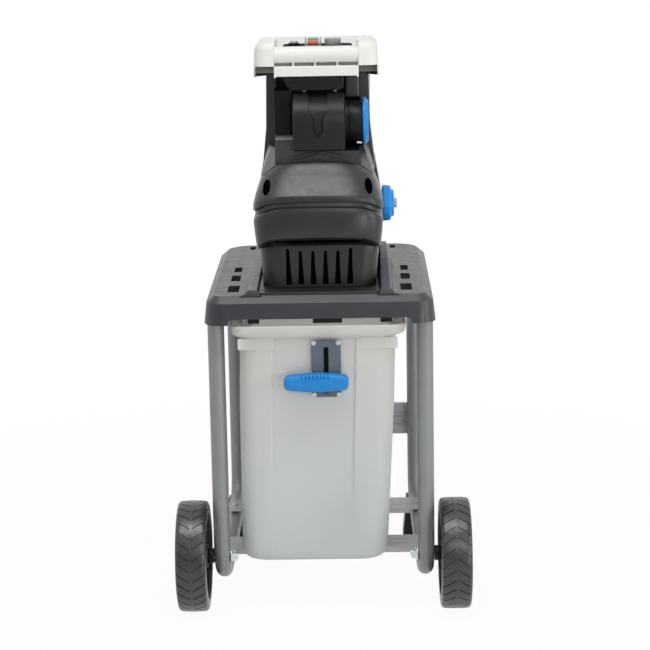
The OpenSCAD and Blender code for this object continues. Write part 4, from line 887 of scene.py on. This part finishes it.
# Ledge left of the hinge block, which curves up to the liner of the hopper
def saddle_ledge():
    curve = arc(SADDLE_FRONT + 2, LEDGE_Z + LEDGE_R, LEDGE_R, 275, 350, 10)
    outline = [(SADDLE_BACK, 220), (SADDLE_FRONT, 220), (SADDLE_FRONT, LEDGE_Z)] + curve
    outline += [(LINER_FRONT, curve[-1][1]), (LINER_FRONT, LEDGE_LEFT), (SADDLE_BACK, LEDGE_LEFT)]
    return prism("hollow", [(y, DECK_Z + z) for y, z in outline], "x", -SADDLE_HALF, BLOCK_LEFT - 1)


def saddle_shoulder(side):
    foot = [(70, 28), (93, 30), (96, SADDLE_BACK), (70, SADDLE_BACK)]
    peak = [(69.5, 66), (77, 67), (84, SADDLE_BACK), (69.5, SADDLE_BACK)]
    rings = []
    for outline, z in ((foot, SHOULDER_Z), (peak, SHOULDER_TOP)):
        rings.append([(side * x, y, DECK_Z + z) for x, y in outline])
    return loft("shoulder", rings)


def saddle():
    left, right = BLOCK_LEFT + 2, BLOCK_RIGHT - 2
    back = [(-SADDLE_HALF, SADDLE_Z), (SADDLE_HALF, SADDLE_Z), (SADDLE_HALF, LEDGE_RIGHT),
            (right, LEDGE_RIGHT), (right, SADDLE_MID), (left, SADDLE_MID), (left, LEDGE_LEFT),
            (-SADDLE_HALF, LEDGE_LEFT)]
    plate = prism("saddle", [(x, DECK_Z + z) for x, z in back], "y", SADDLE_FRONT, SADDLE_BACK)
    fuse(plate, saddle_ledge())
    for front, half, eaves, ridge in GABLES:
        gable = [(-half, SADDLE_Z), (half, SADDLE_Z), (half, eaves), (0, ridge), (-half, eaves)]
        outline = [(FOLD_X + x, DECK_Z + z) for x, z in gable]
        fuse(plate, prism("gable", outline, "y", front, SADDLE_BACK - 1))
    for side in (-1, 1):
        fuse(plate, saddle_shoulder(side))
    soften(plate, 1.6, 3)
    # Housing plastic lightened with painted light
    finish_piece(plate, "hopper_plastic_painted_light", "chassis", "housing_plastic", crease=30)


# Hopper: funnel body with a recess for the hinge block between two cheeks, with heights above the seam
HOP_TOP = box_of("hopper")[1].z
HOPPER_FRONT = 112.5
HOPPER_SIDES = 110
# Front and back of the outlines that narrow the body and the funnel
NARROW_FRONT = 60
NARROW_BACK = 420
BODY_FRONT = ((-95, 0), (-87.5, 70), (-85.5, 160), (-85.5, 240), (87, 240), (87, 160), (89, 70), (97, 0))
FUNNEL_FRONT = ((-60, -2), (-82.5, 115), (-82.5, 240), (84, 240), (84, 115), (52, -2))
FUNNEL_BACK = 384
RECESS_LEFT = -68
RECESS_HALF = 71.5
RECESS_BACK = 126
SHELF_Z = SEAM_Z + 135
EAR_IN = BLOCK_RIGHT + 0.4
EAR_OUT = box_of("lock_hub")[0].x - 0.4
EAR_R = 33


# Side outline narrowed by a front outline
def narrowed(name, side, front):
    form = prism(name, side, "x", -HOPPER_SIDES, HOPPER_SIDES)
    outline = [(x, SEAM_Z + z) for x, z in front]
    return combine(form, prism("narrow", outline, "y", NARROW_FRONT, NARROW_BACK), "INTERSECT")


def hopper():
    side = [(HOPPER_FRONT, SEAM_Z), (HOPPER_FRONT, HOP_TOP), (188, HOP_TOP),
            (388, HOP_TOP - 200 * CAP_SLOPE - 1), (383, SEAM_Z + 52), (300, SEAM_Z)]
    body = narrowed("hopper_body", side, BODY_FRONT)
    low, high = SEAM_Z - 2, HOP_TOP + PAST
    recess = [(90, low), (90, high), (RECESS_BACK, high), (RECESS_BACK, SHELF_Z), (196, SEAM_Z + 3),
              (196, low)]
    cut(body, prism("recess", recess, "x", RECESS_LEFT, RECESS_HALF))
    console = rect(90, CONSOLE_Z - CAP_WALL - 0.5, 173, high)
    cut(body, prism("under_console", console, "x", -RECESS_HALF, RECESS_HALF))
    mouth = [(172, high), (172, SHELF_Z), (202, low), (280, low), (380, SEAM_Z + 58), (FUNNEL_BACK, high)]
    cut(body, narrowed("funnel", mouth, FUNNEL_FRONT))
    soften(body, 3, 3)
    # Dark plastic lightened, partly with painted light
    finish_piece(body, "hopper_plastic_painted_light", "hopper_set", "housing_plastic", "hopper")


# Walls of the recess left and right of the hinge block, the left one darkened with painted shade and the
# right one lightened with painted light, and the ear that carries the lock hub
def hopper_inside():
    back = HOPPER_FRONT + 20
    left = round_box(-RECESS_HALF, LINER_FRONT, BLOCK_LEFT - 1, back, 4)
    low, high = DECK_Z + LEDGE_Z + LEDGE_R - 1.5, box_of("switch_box")[0].z + 2
    liner = prism("hopper_liner", left, "z", low, high)
    finish_piece(liner, "liner_plastic_painted_shade", "hopper_set", "housing_plastic")
    right = round_box(BLOCK_RIGHT + 1, 98, RECESS_HALF, back, 4)
    liner = prism("hopper_liner", right, "z", HINGE_Z + 38, CONSOLE_Z - 5)
    finish_piece(liner, "hopper_plastic_painted_light", "hopper_set", "housing_plastic")
    ear = rod("hopper_ear", EAR_R, "x", (HINGE_Y, HINGE_Z), EAR_IN, EAR_OUT)
    finish_piece(ear, "black_plastic", "hopper_set", "housing_plastic")


# Bolt end below the lock disc, with its profile as (radius, x)
BOLT_PROFILE = ((0, 66), (2.6, 66), (2.6, 73), (1.8, 74.5), (0, 75))


def lock_bolt():
    head = revolve("lock_bolt", BOLT_PROFILE, "x", (HINGE_Y - 16, DECK_Z + 238), 24)
    finish_piece(head, "zinc", "chassis", "zinc")


# Switch box under the console with rounded lower corners, a little wider to the left than the CAD piece
SWITCH_BOX_MORE = 6.5


def switch_box():
    lo, hi = box_of("switch_box")
    left = lo.x - SWITCH_BOX_MORE
    outline = [(left, hi.z), (left + 1.5, lo.z + 21)] + arc(left + 17, lo.z + 12, 12, 190, 270, 6)
    outline += arc(hi.x - 9, lo.z + 8, 8, 270, 360, 6) + [(hi.x, hi.z)]
    body = prism("switch_box_body", outline, "y", lo.y, hi.y)
    soften(body, 2, 3)
    finish_piece(body, "recess_plastic", "hopper_set", "black_plastic", "switch_box", crease=30)


# Push buttons with crowned tops, the on button standing higher
BUTTON_CORNER = 2.5
BUTTON_GAP = 0.4
ON_RISE = 0.5
OFF_RISE = -3.5


def button(node, body, slot, rise):
    lo, hi = box_of(node)
    top = hi.z + rise
    rings = []
    for z, inset in ((lo.z, 0), (top - 2, 0), (top - 0.7, 0.5), (top, 1.8)):
        outline = round_box(*wider(lo.x, lo.y, hi.x, hi.y, -inset), BUTTON_CORNER)
        rings.append([(x, y, z) for x, y in outline])
    cap = loft(node + "_cap", rings)
    finish_piece(cap, slot, body, slot, node, crease=40)


# Switch frame: a low base, open around the buttons, with a guard on each side of them
GUARD_WALL = 2.2
SWITCH_BASE = 1.5


def switch_frame():
    lo, hi = box_of("switch_frame")
    base = prism("switch_base", round_box(lo.x, lo.y, hi.x, hi.y, 2), "z", lo.z, lo.z + SWITCH_BASE)
    near, far = lo.y + 1, hi.y - 1
    guard = [(near, lo.z), (near, lo.z + 6), (lo.y + 14, hi.z - 1), (far, hi.z), (far, lo.z)]
    for x in (lo.x, hi.x - GUARD_WALL):
        fuse(base, prism("guard", guard, "x", x, x + GUARD_WALL))
    for node in ("button_on", "button_off"):
        low, high = box_of(node)
        opening = round_box(*wider(low.x, low.y, high.x, high.y, BUTTON_GAP), BUTTON_CORNER)
        cut(base, prism("opening", opening, "z", lo.z - 2, lo.z + 3))
    soften(base, 0.5)
    finish_piece(base, "grey_plastic", "hopper_set", "black_plastic", "switch_frame", crease=30)


# Adjusting knob with shallow lobes and a stepped face, in a lighter copy of the blue plastic that is painted
# light
KNOB_LOBES = 12
LOBE_STEPS = 8
LOBE_DEEP = 0.55


def adjust_knob():
    lo, hi = box_of("adjust_knob")
    mid_y, mid_z, outer = (lo.y + hi.y) / 2, (lo.z + hi.z) / 2, (hi.z - lo.z) / 2
    steps = KNOB_LOBES * LOBE_STEPS
    # Rows as (x, drop below the outer radius, share of the lobes)
    rows = ((lo.x, 9, 0), (lo.x, 2, 0.6), (lo.x + 1.5, 0.6, 1), (lo.x + 4, 0, 1), (hi.x - 8, 1, 1),
            (hi.x - 6, 2.4, 0.8), (hi.x - 5, 5, 0.3), (hi.x - 4.4, 8, 0), (hi.x - 1, 9, 0), (hi.x, 10, 0))
    rings = []
    for x, drop, lobe in rows:
        ring = []
        for i in range(steps):
            t = 2 * math.pi * i / steps
            radius = outer - drop - lobe * LOBE_DEEP * (1 - math.cos(KNOB_LOBES * t))
            ring.append((x, mid_y + radius * math.cos(t), mid_z + radius * math.sin(t)))
        rings.append(ring)
    knob = loft("adjust_knob_body", rings)
    soften(knob, 0.5, 2, 40)
    finish_piece(knob, "knob_plastic_painted_light", "adjuster_set", "blue_plastic", "adjust_knob", crease=40)


# Platform: chamfered skirt with leg sockets, hollow below, a raised deck and a rail on each side of it
PLAT_LO, PLAT_HI = box_of("platform")
TOP_Z = DECK_Z - 4
FRONT_CORNER = 30
BACK_CORNER = 62
# Inner edges of the leg sockets
SOCKET_X = 152.5
SOCKET_FRONT = 16
SOCKET_BACK = 399
SKIRT_Z = PLAT_LO.z + 10
GAP_R = 9
DECK = (-104, -24, 104, 445)
THROAT = (-60, 202, 52, 280)
RAIL_X = 110.5
RAIL_INNER_FOOT = 15
RAIL_OUTER_FOOT = 11
# Rails as (along, height, half width of the top): the left one is low, the right one climbs to a round fin
LOW_RAIL = ((-31, 1, 11), (-28, 10, 8), (200, 11, 7), (290, 11, 7), (297, 8, 6), (300, 1, 6))
FIN_RAIL = ((-31, 1, 11), (-28, 10, 8.5), (60, 19, 8.2), (150, 30, 7.6), (210, 38, 6.6), (235, 40.5, 6),
            (255, 40, 5.6), (272, 35, 5), (285, 26, 5), (294, 13, 5), (299, 1, 5))
# Long holes of the top as (across, along, width, length)
HOLES = ((145, 32, 19, 56), (146, 126, 16, 51), (146, 205, 13, 45), (130, 420, 10, 30))
COLLAR_WALL = 2


def plat_ring(z, inset):
    x1, y0, y1 = PLAT_HI.x - inset, PLAT_LO.y + inset, PLAT_HI.y - inset
    rf, rb = max(4, FRONT_CORNER - inset), max(4, BACK_CORNER - inset)
    outline = arc(x1 - rf, y0 + rf, rf, 270, 360) + arc(x1 - rb, y1 - rb, rb, 0, 90, 10)
    outline += arc(-x1 + rb, y1 - rb, rb, 90, 180, 10) + arc(-x1 + rf, y0 + rf, rf, 180, 270)
    return [(x, y, z) for x, y in outline]


# Hollow below the top, which leaves a solid socket for each leg
def platform_room():
    room = loft("room", [plat_ring(PLAT_LO.z - 2, 4), plat_ring(TOP_Z - 14, 8), plat_ring(TOP_Z - 4, 18)])
    edge = PLAT_HI.x + PAST
    for x0, x1 in ((-edge, -SOCKET_X), (SOCKET_X, edge)):
        for y0, y1 in ((PLAT_LO.y - PAST, SOCKET_FRONT), (SOCKET_BACK, PLAT_HI.y + PAST)):
            cut(room, prism("socket", round_box(x0, y0, x1, y1, 3), "z", PLAT_LO.z - PAST, TOP_Z))
    return room


# Gap of the skirt between two sockets, with round upper corners
def skirt_gap(a, b):
    low, middle = PLAT_LO.z - PAST, SKIRT_Z - GAP_R
    outline = [(a, low), (b, low)] + arc(b - GAP_R, middle, GAP_R, 0, 90, 6)
    return outline + arc(a + GAP_R, middle, GAP_R, 90, 180, 6)


def platform_rail(side):
    rings = []
    for y, tall, top in LOW_RAIL if side < 0 else FIN_RAIL:
        outer = [(top + RAIL_OUTER_FOOT, 0), (top + 4.5, 0.35), (top + 0.8, 0.9), (top - 1.2, 1)]
        inner = [(1.2 - top, 1), (-0.6 - top, 0.9), (-2.5 - top, 0.45), (-RAIL_INNER_FOOT, 0)]
        rings.append([(side * (RAIL_X + x), y, TOP_Z - 1 + share * tall) for x, share in outer + inner])
    return loft("rail", rings)


def platform():
    rows = ((PLAT_LO.z, 0), (PLAT_LO.z + 3, 0.2), (TOP_Z - 11, 4), (TOP_Z, 17))
    body = loft("platform_top", [plat_ring(z, inset) for z, inset in rows])
    cut(body, platform_room())
    across, along = skirt_gap(-SOCKET_X, SOCKET_X), skirt_gap(SOCKET_FRONT, SOCKET_BACK)
    cut(body, prism("front_gap", across, "y", PLAT_LO.y - PAST, PLAT_HI.y + PAST))
    cut(body, prism("side_gap", along, "x", -PLAT_HI.x - PAST, PLAT_HI.x + PAST))
    fuse(body, prism("deck", round_box(*DECK, 8), "z", TOP_Z - 1, DECK_Z))
    for side in (-1, 1):
        fuse(body, platform_rail(side))
        for x, y, wide, long in HOLES:
            hole = (side * x - wide / 2, y - long / 2, side * x + wide / 2, y + long / 2)
            collar = round_box(*wider(*hole, COLLAR_WALL), 2)
            fuse(body, prism("collar", collar, "z", TOP_Z - 18, TOP_Z - 1))
            cut(body, prism("hole", round_box(*hole, 1.5), "z", TOP_Z - 22, TOP_Z + 3))
    cut(body, prism("throat", round_box(*THROAT, 1), "z", TOP_Z - 10, DECK_Z + PAST))
    soften(body, 2.0, 3, 22)
    finish_piece(body, "platform_plastic", "chassis", "platform_plastic", "platform", crease=30)


# Side tube: front leg, a bottom run that sinks towards the front bend, and rear leg
TUBE_R = 14
TUBE_BEND = 60
BEND_STEPS = 16
RUN_SINK = 14
TUBE_SIDES = 32


def side_frame(side):
    node = f"frame_{side}"
    lo, hi = box_of(node)
    front, rear = lo.y + TUBE_R, hi.y - TUBE_R
    run = lo.z + TUBE_R
    low = run - RUN_SINK
    x_front, x_rear = lo.x + TUBE_R, hi.x - TUBE_R
    if side == "right":
        x_front, x_rear = x_rear, x_front
    path = [(front, hi.z), (front, low + TUBE_BEND + 1)]
    path += arc(front + TUBE_BEND, low + TUBE_BEND, TUBE_BEND, 180, 270, BEND_STEPS)
    path += arc(rear - TUBE_BEND, run + TUBE_BEND, TUBE_BEND, 270, 360, BEND_STEPS)
    path += [(rear, run + TUBE_BEND + 1), (rear, hi.z)]
    section = arc(0, 0, TUBE_R, 0, 360, TUBE_SIDES)[:-1]
    rings = []
    for i, (y, z) in enumerate(path):
        before, after = path[max(i - 1, 0)], path[min(i + 1, len(path) - 1)]
        along = Vector((after[0] - before[0], after[1] - before[1])).normalized()
        x = x_front + (x_rear - x_front) * (y - front) / (rear - front)
        rings.append([(x + u, y - along.y * v, z + along.x * v) for u, v in section])
    tube = loft(node + "_tube", rings)
    finish_piece(tube, "frame_steel", "chassis", "frame_steel", node)


# Pressed rear brace with two long ribs
BRACE_STEEL = 1.8
RIB_DEEP = 3
RIB_HALF = 4.5
RIB_SLANT = 1.5
RIB_STEP = 8


def rear_brace():
    lo, hi = box_of("rear_brace")
    mid_z = (lo.z + hi.z) / 2
    deep = lo.y + RIB_DEEP
    face = [(lo.y, lo.z)]
    for z in (mid_z - RIB_STEP, mid_z + RIB_STEP):
        face += [(lo.y, z - RIB_HALF), (deep, z - RIB_HALF + RIB_SLANT), (deep, z + RIB_HALF - RIB_SLANT),
                 (lo.y, z + RIB_HALF)]
    face.append((lo.y, hi.z))
    low, high = lo.z + BRACE_STEEL, hi.z - BRACE_STEEL
    inside = [(y + BRACE_STEEL, min(max(z, low), high)) for y, z in reversed(face)]
    outline = [(hi.y, lo.z)] + face + [(hi.y, hi.z), (hi.y, high)] + inside + [(hi.y, low)]
    brace = prism("rear_brace_plate", outline, "x", lo.x, hi.x)
    soften(brace, 0.6)
    finish_piece(brace, "bar_steel", "chassis", "bar_steel", "rear_brace", crease=30)


# Kept CAD nodes by finish, with the width of their softened edges
KEPT = {
    "bar_steel": (("cross_bar_front", "cross_bar_rear"), 0.8),
    "zinc": (("bar_screws", "leg_screws", "axle_bolts", "axle_nuts", "latch_screws",
              "switch_box_screws"), 0.4),
    # Cover screws darkened with painted shade
    "screw_steel_painted_shade": (("cover_screws",), 0.4),
    "black_plastic": (("foot_left", "foot_right", "axle_spacers", "interlock_catch", "box_guides",
                       "lock_hub"), 0.8),
    "wheel_plastic": (("wheel_left", "wheel_right"), 0.7),
    "slide_plastic": (("latch_slide",), 0.5),
    "blue_plastic": (("lock_knob",), 0.8),
    "housing_plastic": (("cutter_housing",), 3.0),
    "motor_steel": (("motor_can",), 0.5),
    "rotor_steel": (("rotor",), 0.2),
    "fan_plastic": (("motor_fan",), 0.3),
    "case_aluminium": (("gear_case",), 1.2),
    "gear_steel": (("lay_gear", "output_gear"), 0.2),
    "shaft_steel": (("roller_shaft", "shaft_bearings", "adjust_spindle", "hinge_pin"), 0.4),
    "roller_steel": (("cutting_roller",), 0.3),
    "counter_aluminium": (("counter_plate",), 0.4),
    "light_plastic": (("knob_cap",), 0.6),
    "panel_plastic": (("switch_panel",), 0.6),
    "silver_plastic": (("reset_button",), 0.8),
    "grey_plastic": (("direction_knob",), 0.5),
}


# Studio: pale floor, white surroundings for what the camera and mirrors see, soft lamps
WHITE = (1, 1, 1, 1)
AMBIENT = 0.42
FLOOR_HALF = 12.0
# How much white the reflections show towards the front, where the studio is darker
FRONT_SHARE = 0.12
# Soft lamps as (name, place, target, width, height, watts), in metres
LAMPS = (
    ("key", (-0.15, -0.95, 2.9), (0, -0.15, 0.75), 1.6, 1.0, 28),
    ("front", (0.7, -2.9, 1.8), (0, -0.1, 0.5), 1.4, 1.2, 12),
    ("low right", (1.4, -2.1, 0.4), (0, 0, 0.5), 0.45, 0.6, 6),
    ("left", (-1.5, -2.0, 1.5), (0, 0, 0.5), 0.8, 1.2, 2),
    ("right", (2.1, -1.1, 0.8), (0, 0, 0.5), 0.6, 1.2, 10.5),
)


# White for the camera and through clear pieces, and as much as given in reflections
def seen_white(tree, reflect):
    path = tree.nodes.new("ShaderNodeLightPath").outputs
    mirror = maths(tree, "MULTIPLY", path["Is Glossy Ray"], reflect)
    seen = maths(tree, "MAXIMUM", path["Is Camera Ray"], mirror)
    return maths(tree, "MAXIMUM", seen, path["Is Transmission Ray"])


def floor():
    mesh = bpy.data.meshes.new("floor")
    corners = rect(-FLOOR_HALF, -FLOOR_HALF, FLOOR_HALF, FLOOR_HALF)
    mesh.from_pydata([(x, y, 0) for x, y in corners], [], [(0, 1, 2, 3)])
    obj = add_object("floor", mesh)
    material, tree, bsdf = shader("floor")
    feed(tree, bsdf, {"Base Color": (0.9, 0.9, 0.9, 1), "Roughness": 0.9, "Specular IOR Level": 0.0})
    glow = add_node(tree, "Emission", {"Color": WHITE, "Strength": 1.0}, "Emission")
    place = place_of(tree)
    reflect = ramp(tree, axis_of(tree, place, "Y"), -1.5, -0.1, FRONT_SHARE, 1)
    reach = tree.nodes.new("ShaderNodeVectorMath")
    reach.operation = "LENGTH"
    feed(tree, reach, {0: place})
    fade = ramp(tree, reach.outputs["Value"], 0.45, 1.5, 0.95, 1.0)
    share = maths(tree, "MULTIPLY", seen_white(tree, reflect), fade)
    blend_shaders(tree, share, bsdf.outputs["BSDF"], glow, "Material Output")
    mesh.materials.append(material)


def surroundings():
    world = bpy.data.worlds.new("studio")
    bpy.context.scene.world = world
    world.use_nodes = True
    tree = world.node_tree
    dim = tree.nodes["Background"]
    feed(tree, dim, {"Color": WHITE, "Strength": AMBIENT})
    white = add_node(tree, "Background", {"Color": WHITE, "Strength": 1.0}, "Background")
    aim = place_of(tree, "Generated")
    reflect = ramp(tree, axis_of(tree, aim, "Y"), -0.85, -0.35, FRONT_SHARE, 1)
    share = seen_white(tree, reflect)
    blend_shaders(tree, share, dim.outputs["Background"], white, "World Output")


def softbox(name, place, target, width, height, watts):
    lamp = bpy.data.lights.new(name, "AREA")
    lamp.shape = "RECTANGLE"
    lamp.size = width
    lamp.size_y = height
    lamp.energy = watts
    obj = add_object(name, lamp)
    obj.location = place
    obj.rotation_euler = (Vector(target) - Vector(place)).to_track_quat("-Z", "Y").to_euler()
    obj.visible_camera = False


# Camera of the photograph: focal length and frame in pixels, angles in degrees, place in the drawing frame
FOCAL_PX = 2048.66
FRAME_PX = 650
YAW = -0.868
PITCH = 12.239
ROLL = 1.039
CAMERA_AT = (58.76, -3349.7, 1223.54)


def photo_camera():
    yaw, pitch, roll = (math.radians(a) for a in (YAW, PITCH, ROLL))
    ahead = Vector((math.sin(yaw) * math.cos(pitch), math.cos(yaw) * math.cos(pitch), -math.sin(pitch)))
    right = Vector((math.cos(yaw), -math.sin(yaw), 0))
    down = ahead.cross(right)
    side = math.cos(roll) * right + math.sin(roll) * down
    fall = -math.sin(roll) * right + math.cos(roll) * down
    turn = Matrix((side, -fall, -ahead)).transposed()
    data = bpy.data.cameras.new("photo")
    data.sensor_width = 36
    data.lens = FOCAL_PX * data.sensor_width / FRAME_PX
    data.clip_end = 100
    camera = add_object("photo", data)
    camera.matrix_world = Matrix.Translation(at(*CAMERA_AT)) @ turn.to_4x4()
    bpy.context.scene.camera = camera


photo_camera()
surroundings()
floor()
for lamp in LAMPS:
    softbox(*lamp)
for look, (names, edge) in KEPT.items():
    for node in names:
        keep(node, look, edge)
for side in ("left", "right"):
    tyre(side)
    side_frame(side)
collection_box()
latch_plate()
latch_grip()
motor_cover()
vent_base()
hopper_cap()
cap_roll()
cap_liner()
hopper()
hopper_inside()
hinge_block()
saddle()
lock_bolt()
switch_box()
button("button_on", "on_set", "green_plastic", ON_RISE)
button("button_off", "off_set", "red_plastic", OFF_RISE)
switch_frame()
adjust_knob()
platform()
rear_brace()

scene = bpy.context.scene
scene.view_settings.view_transform = "Standard"
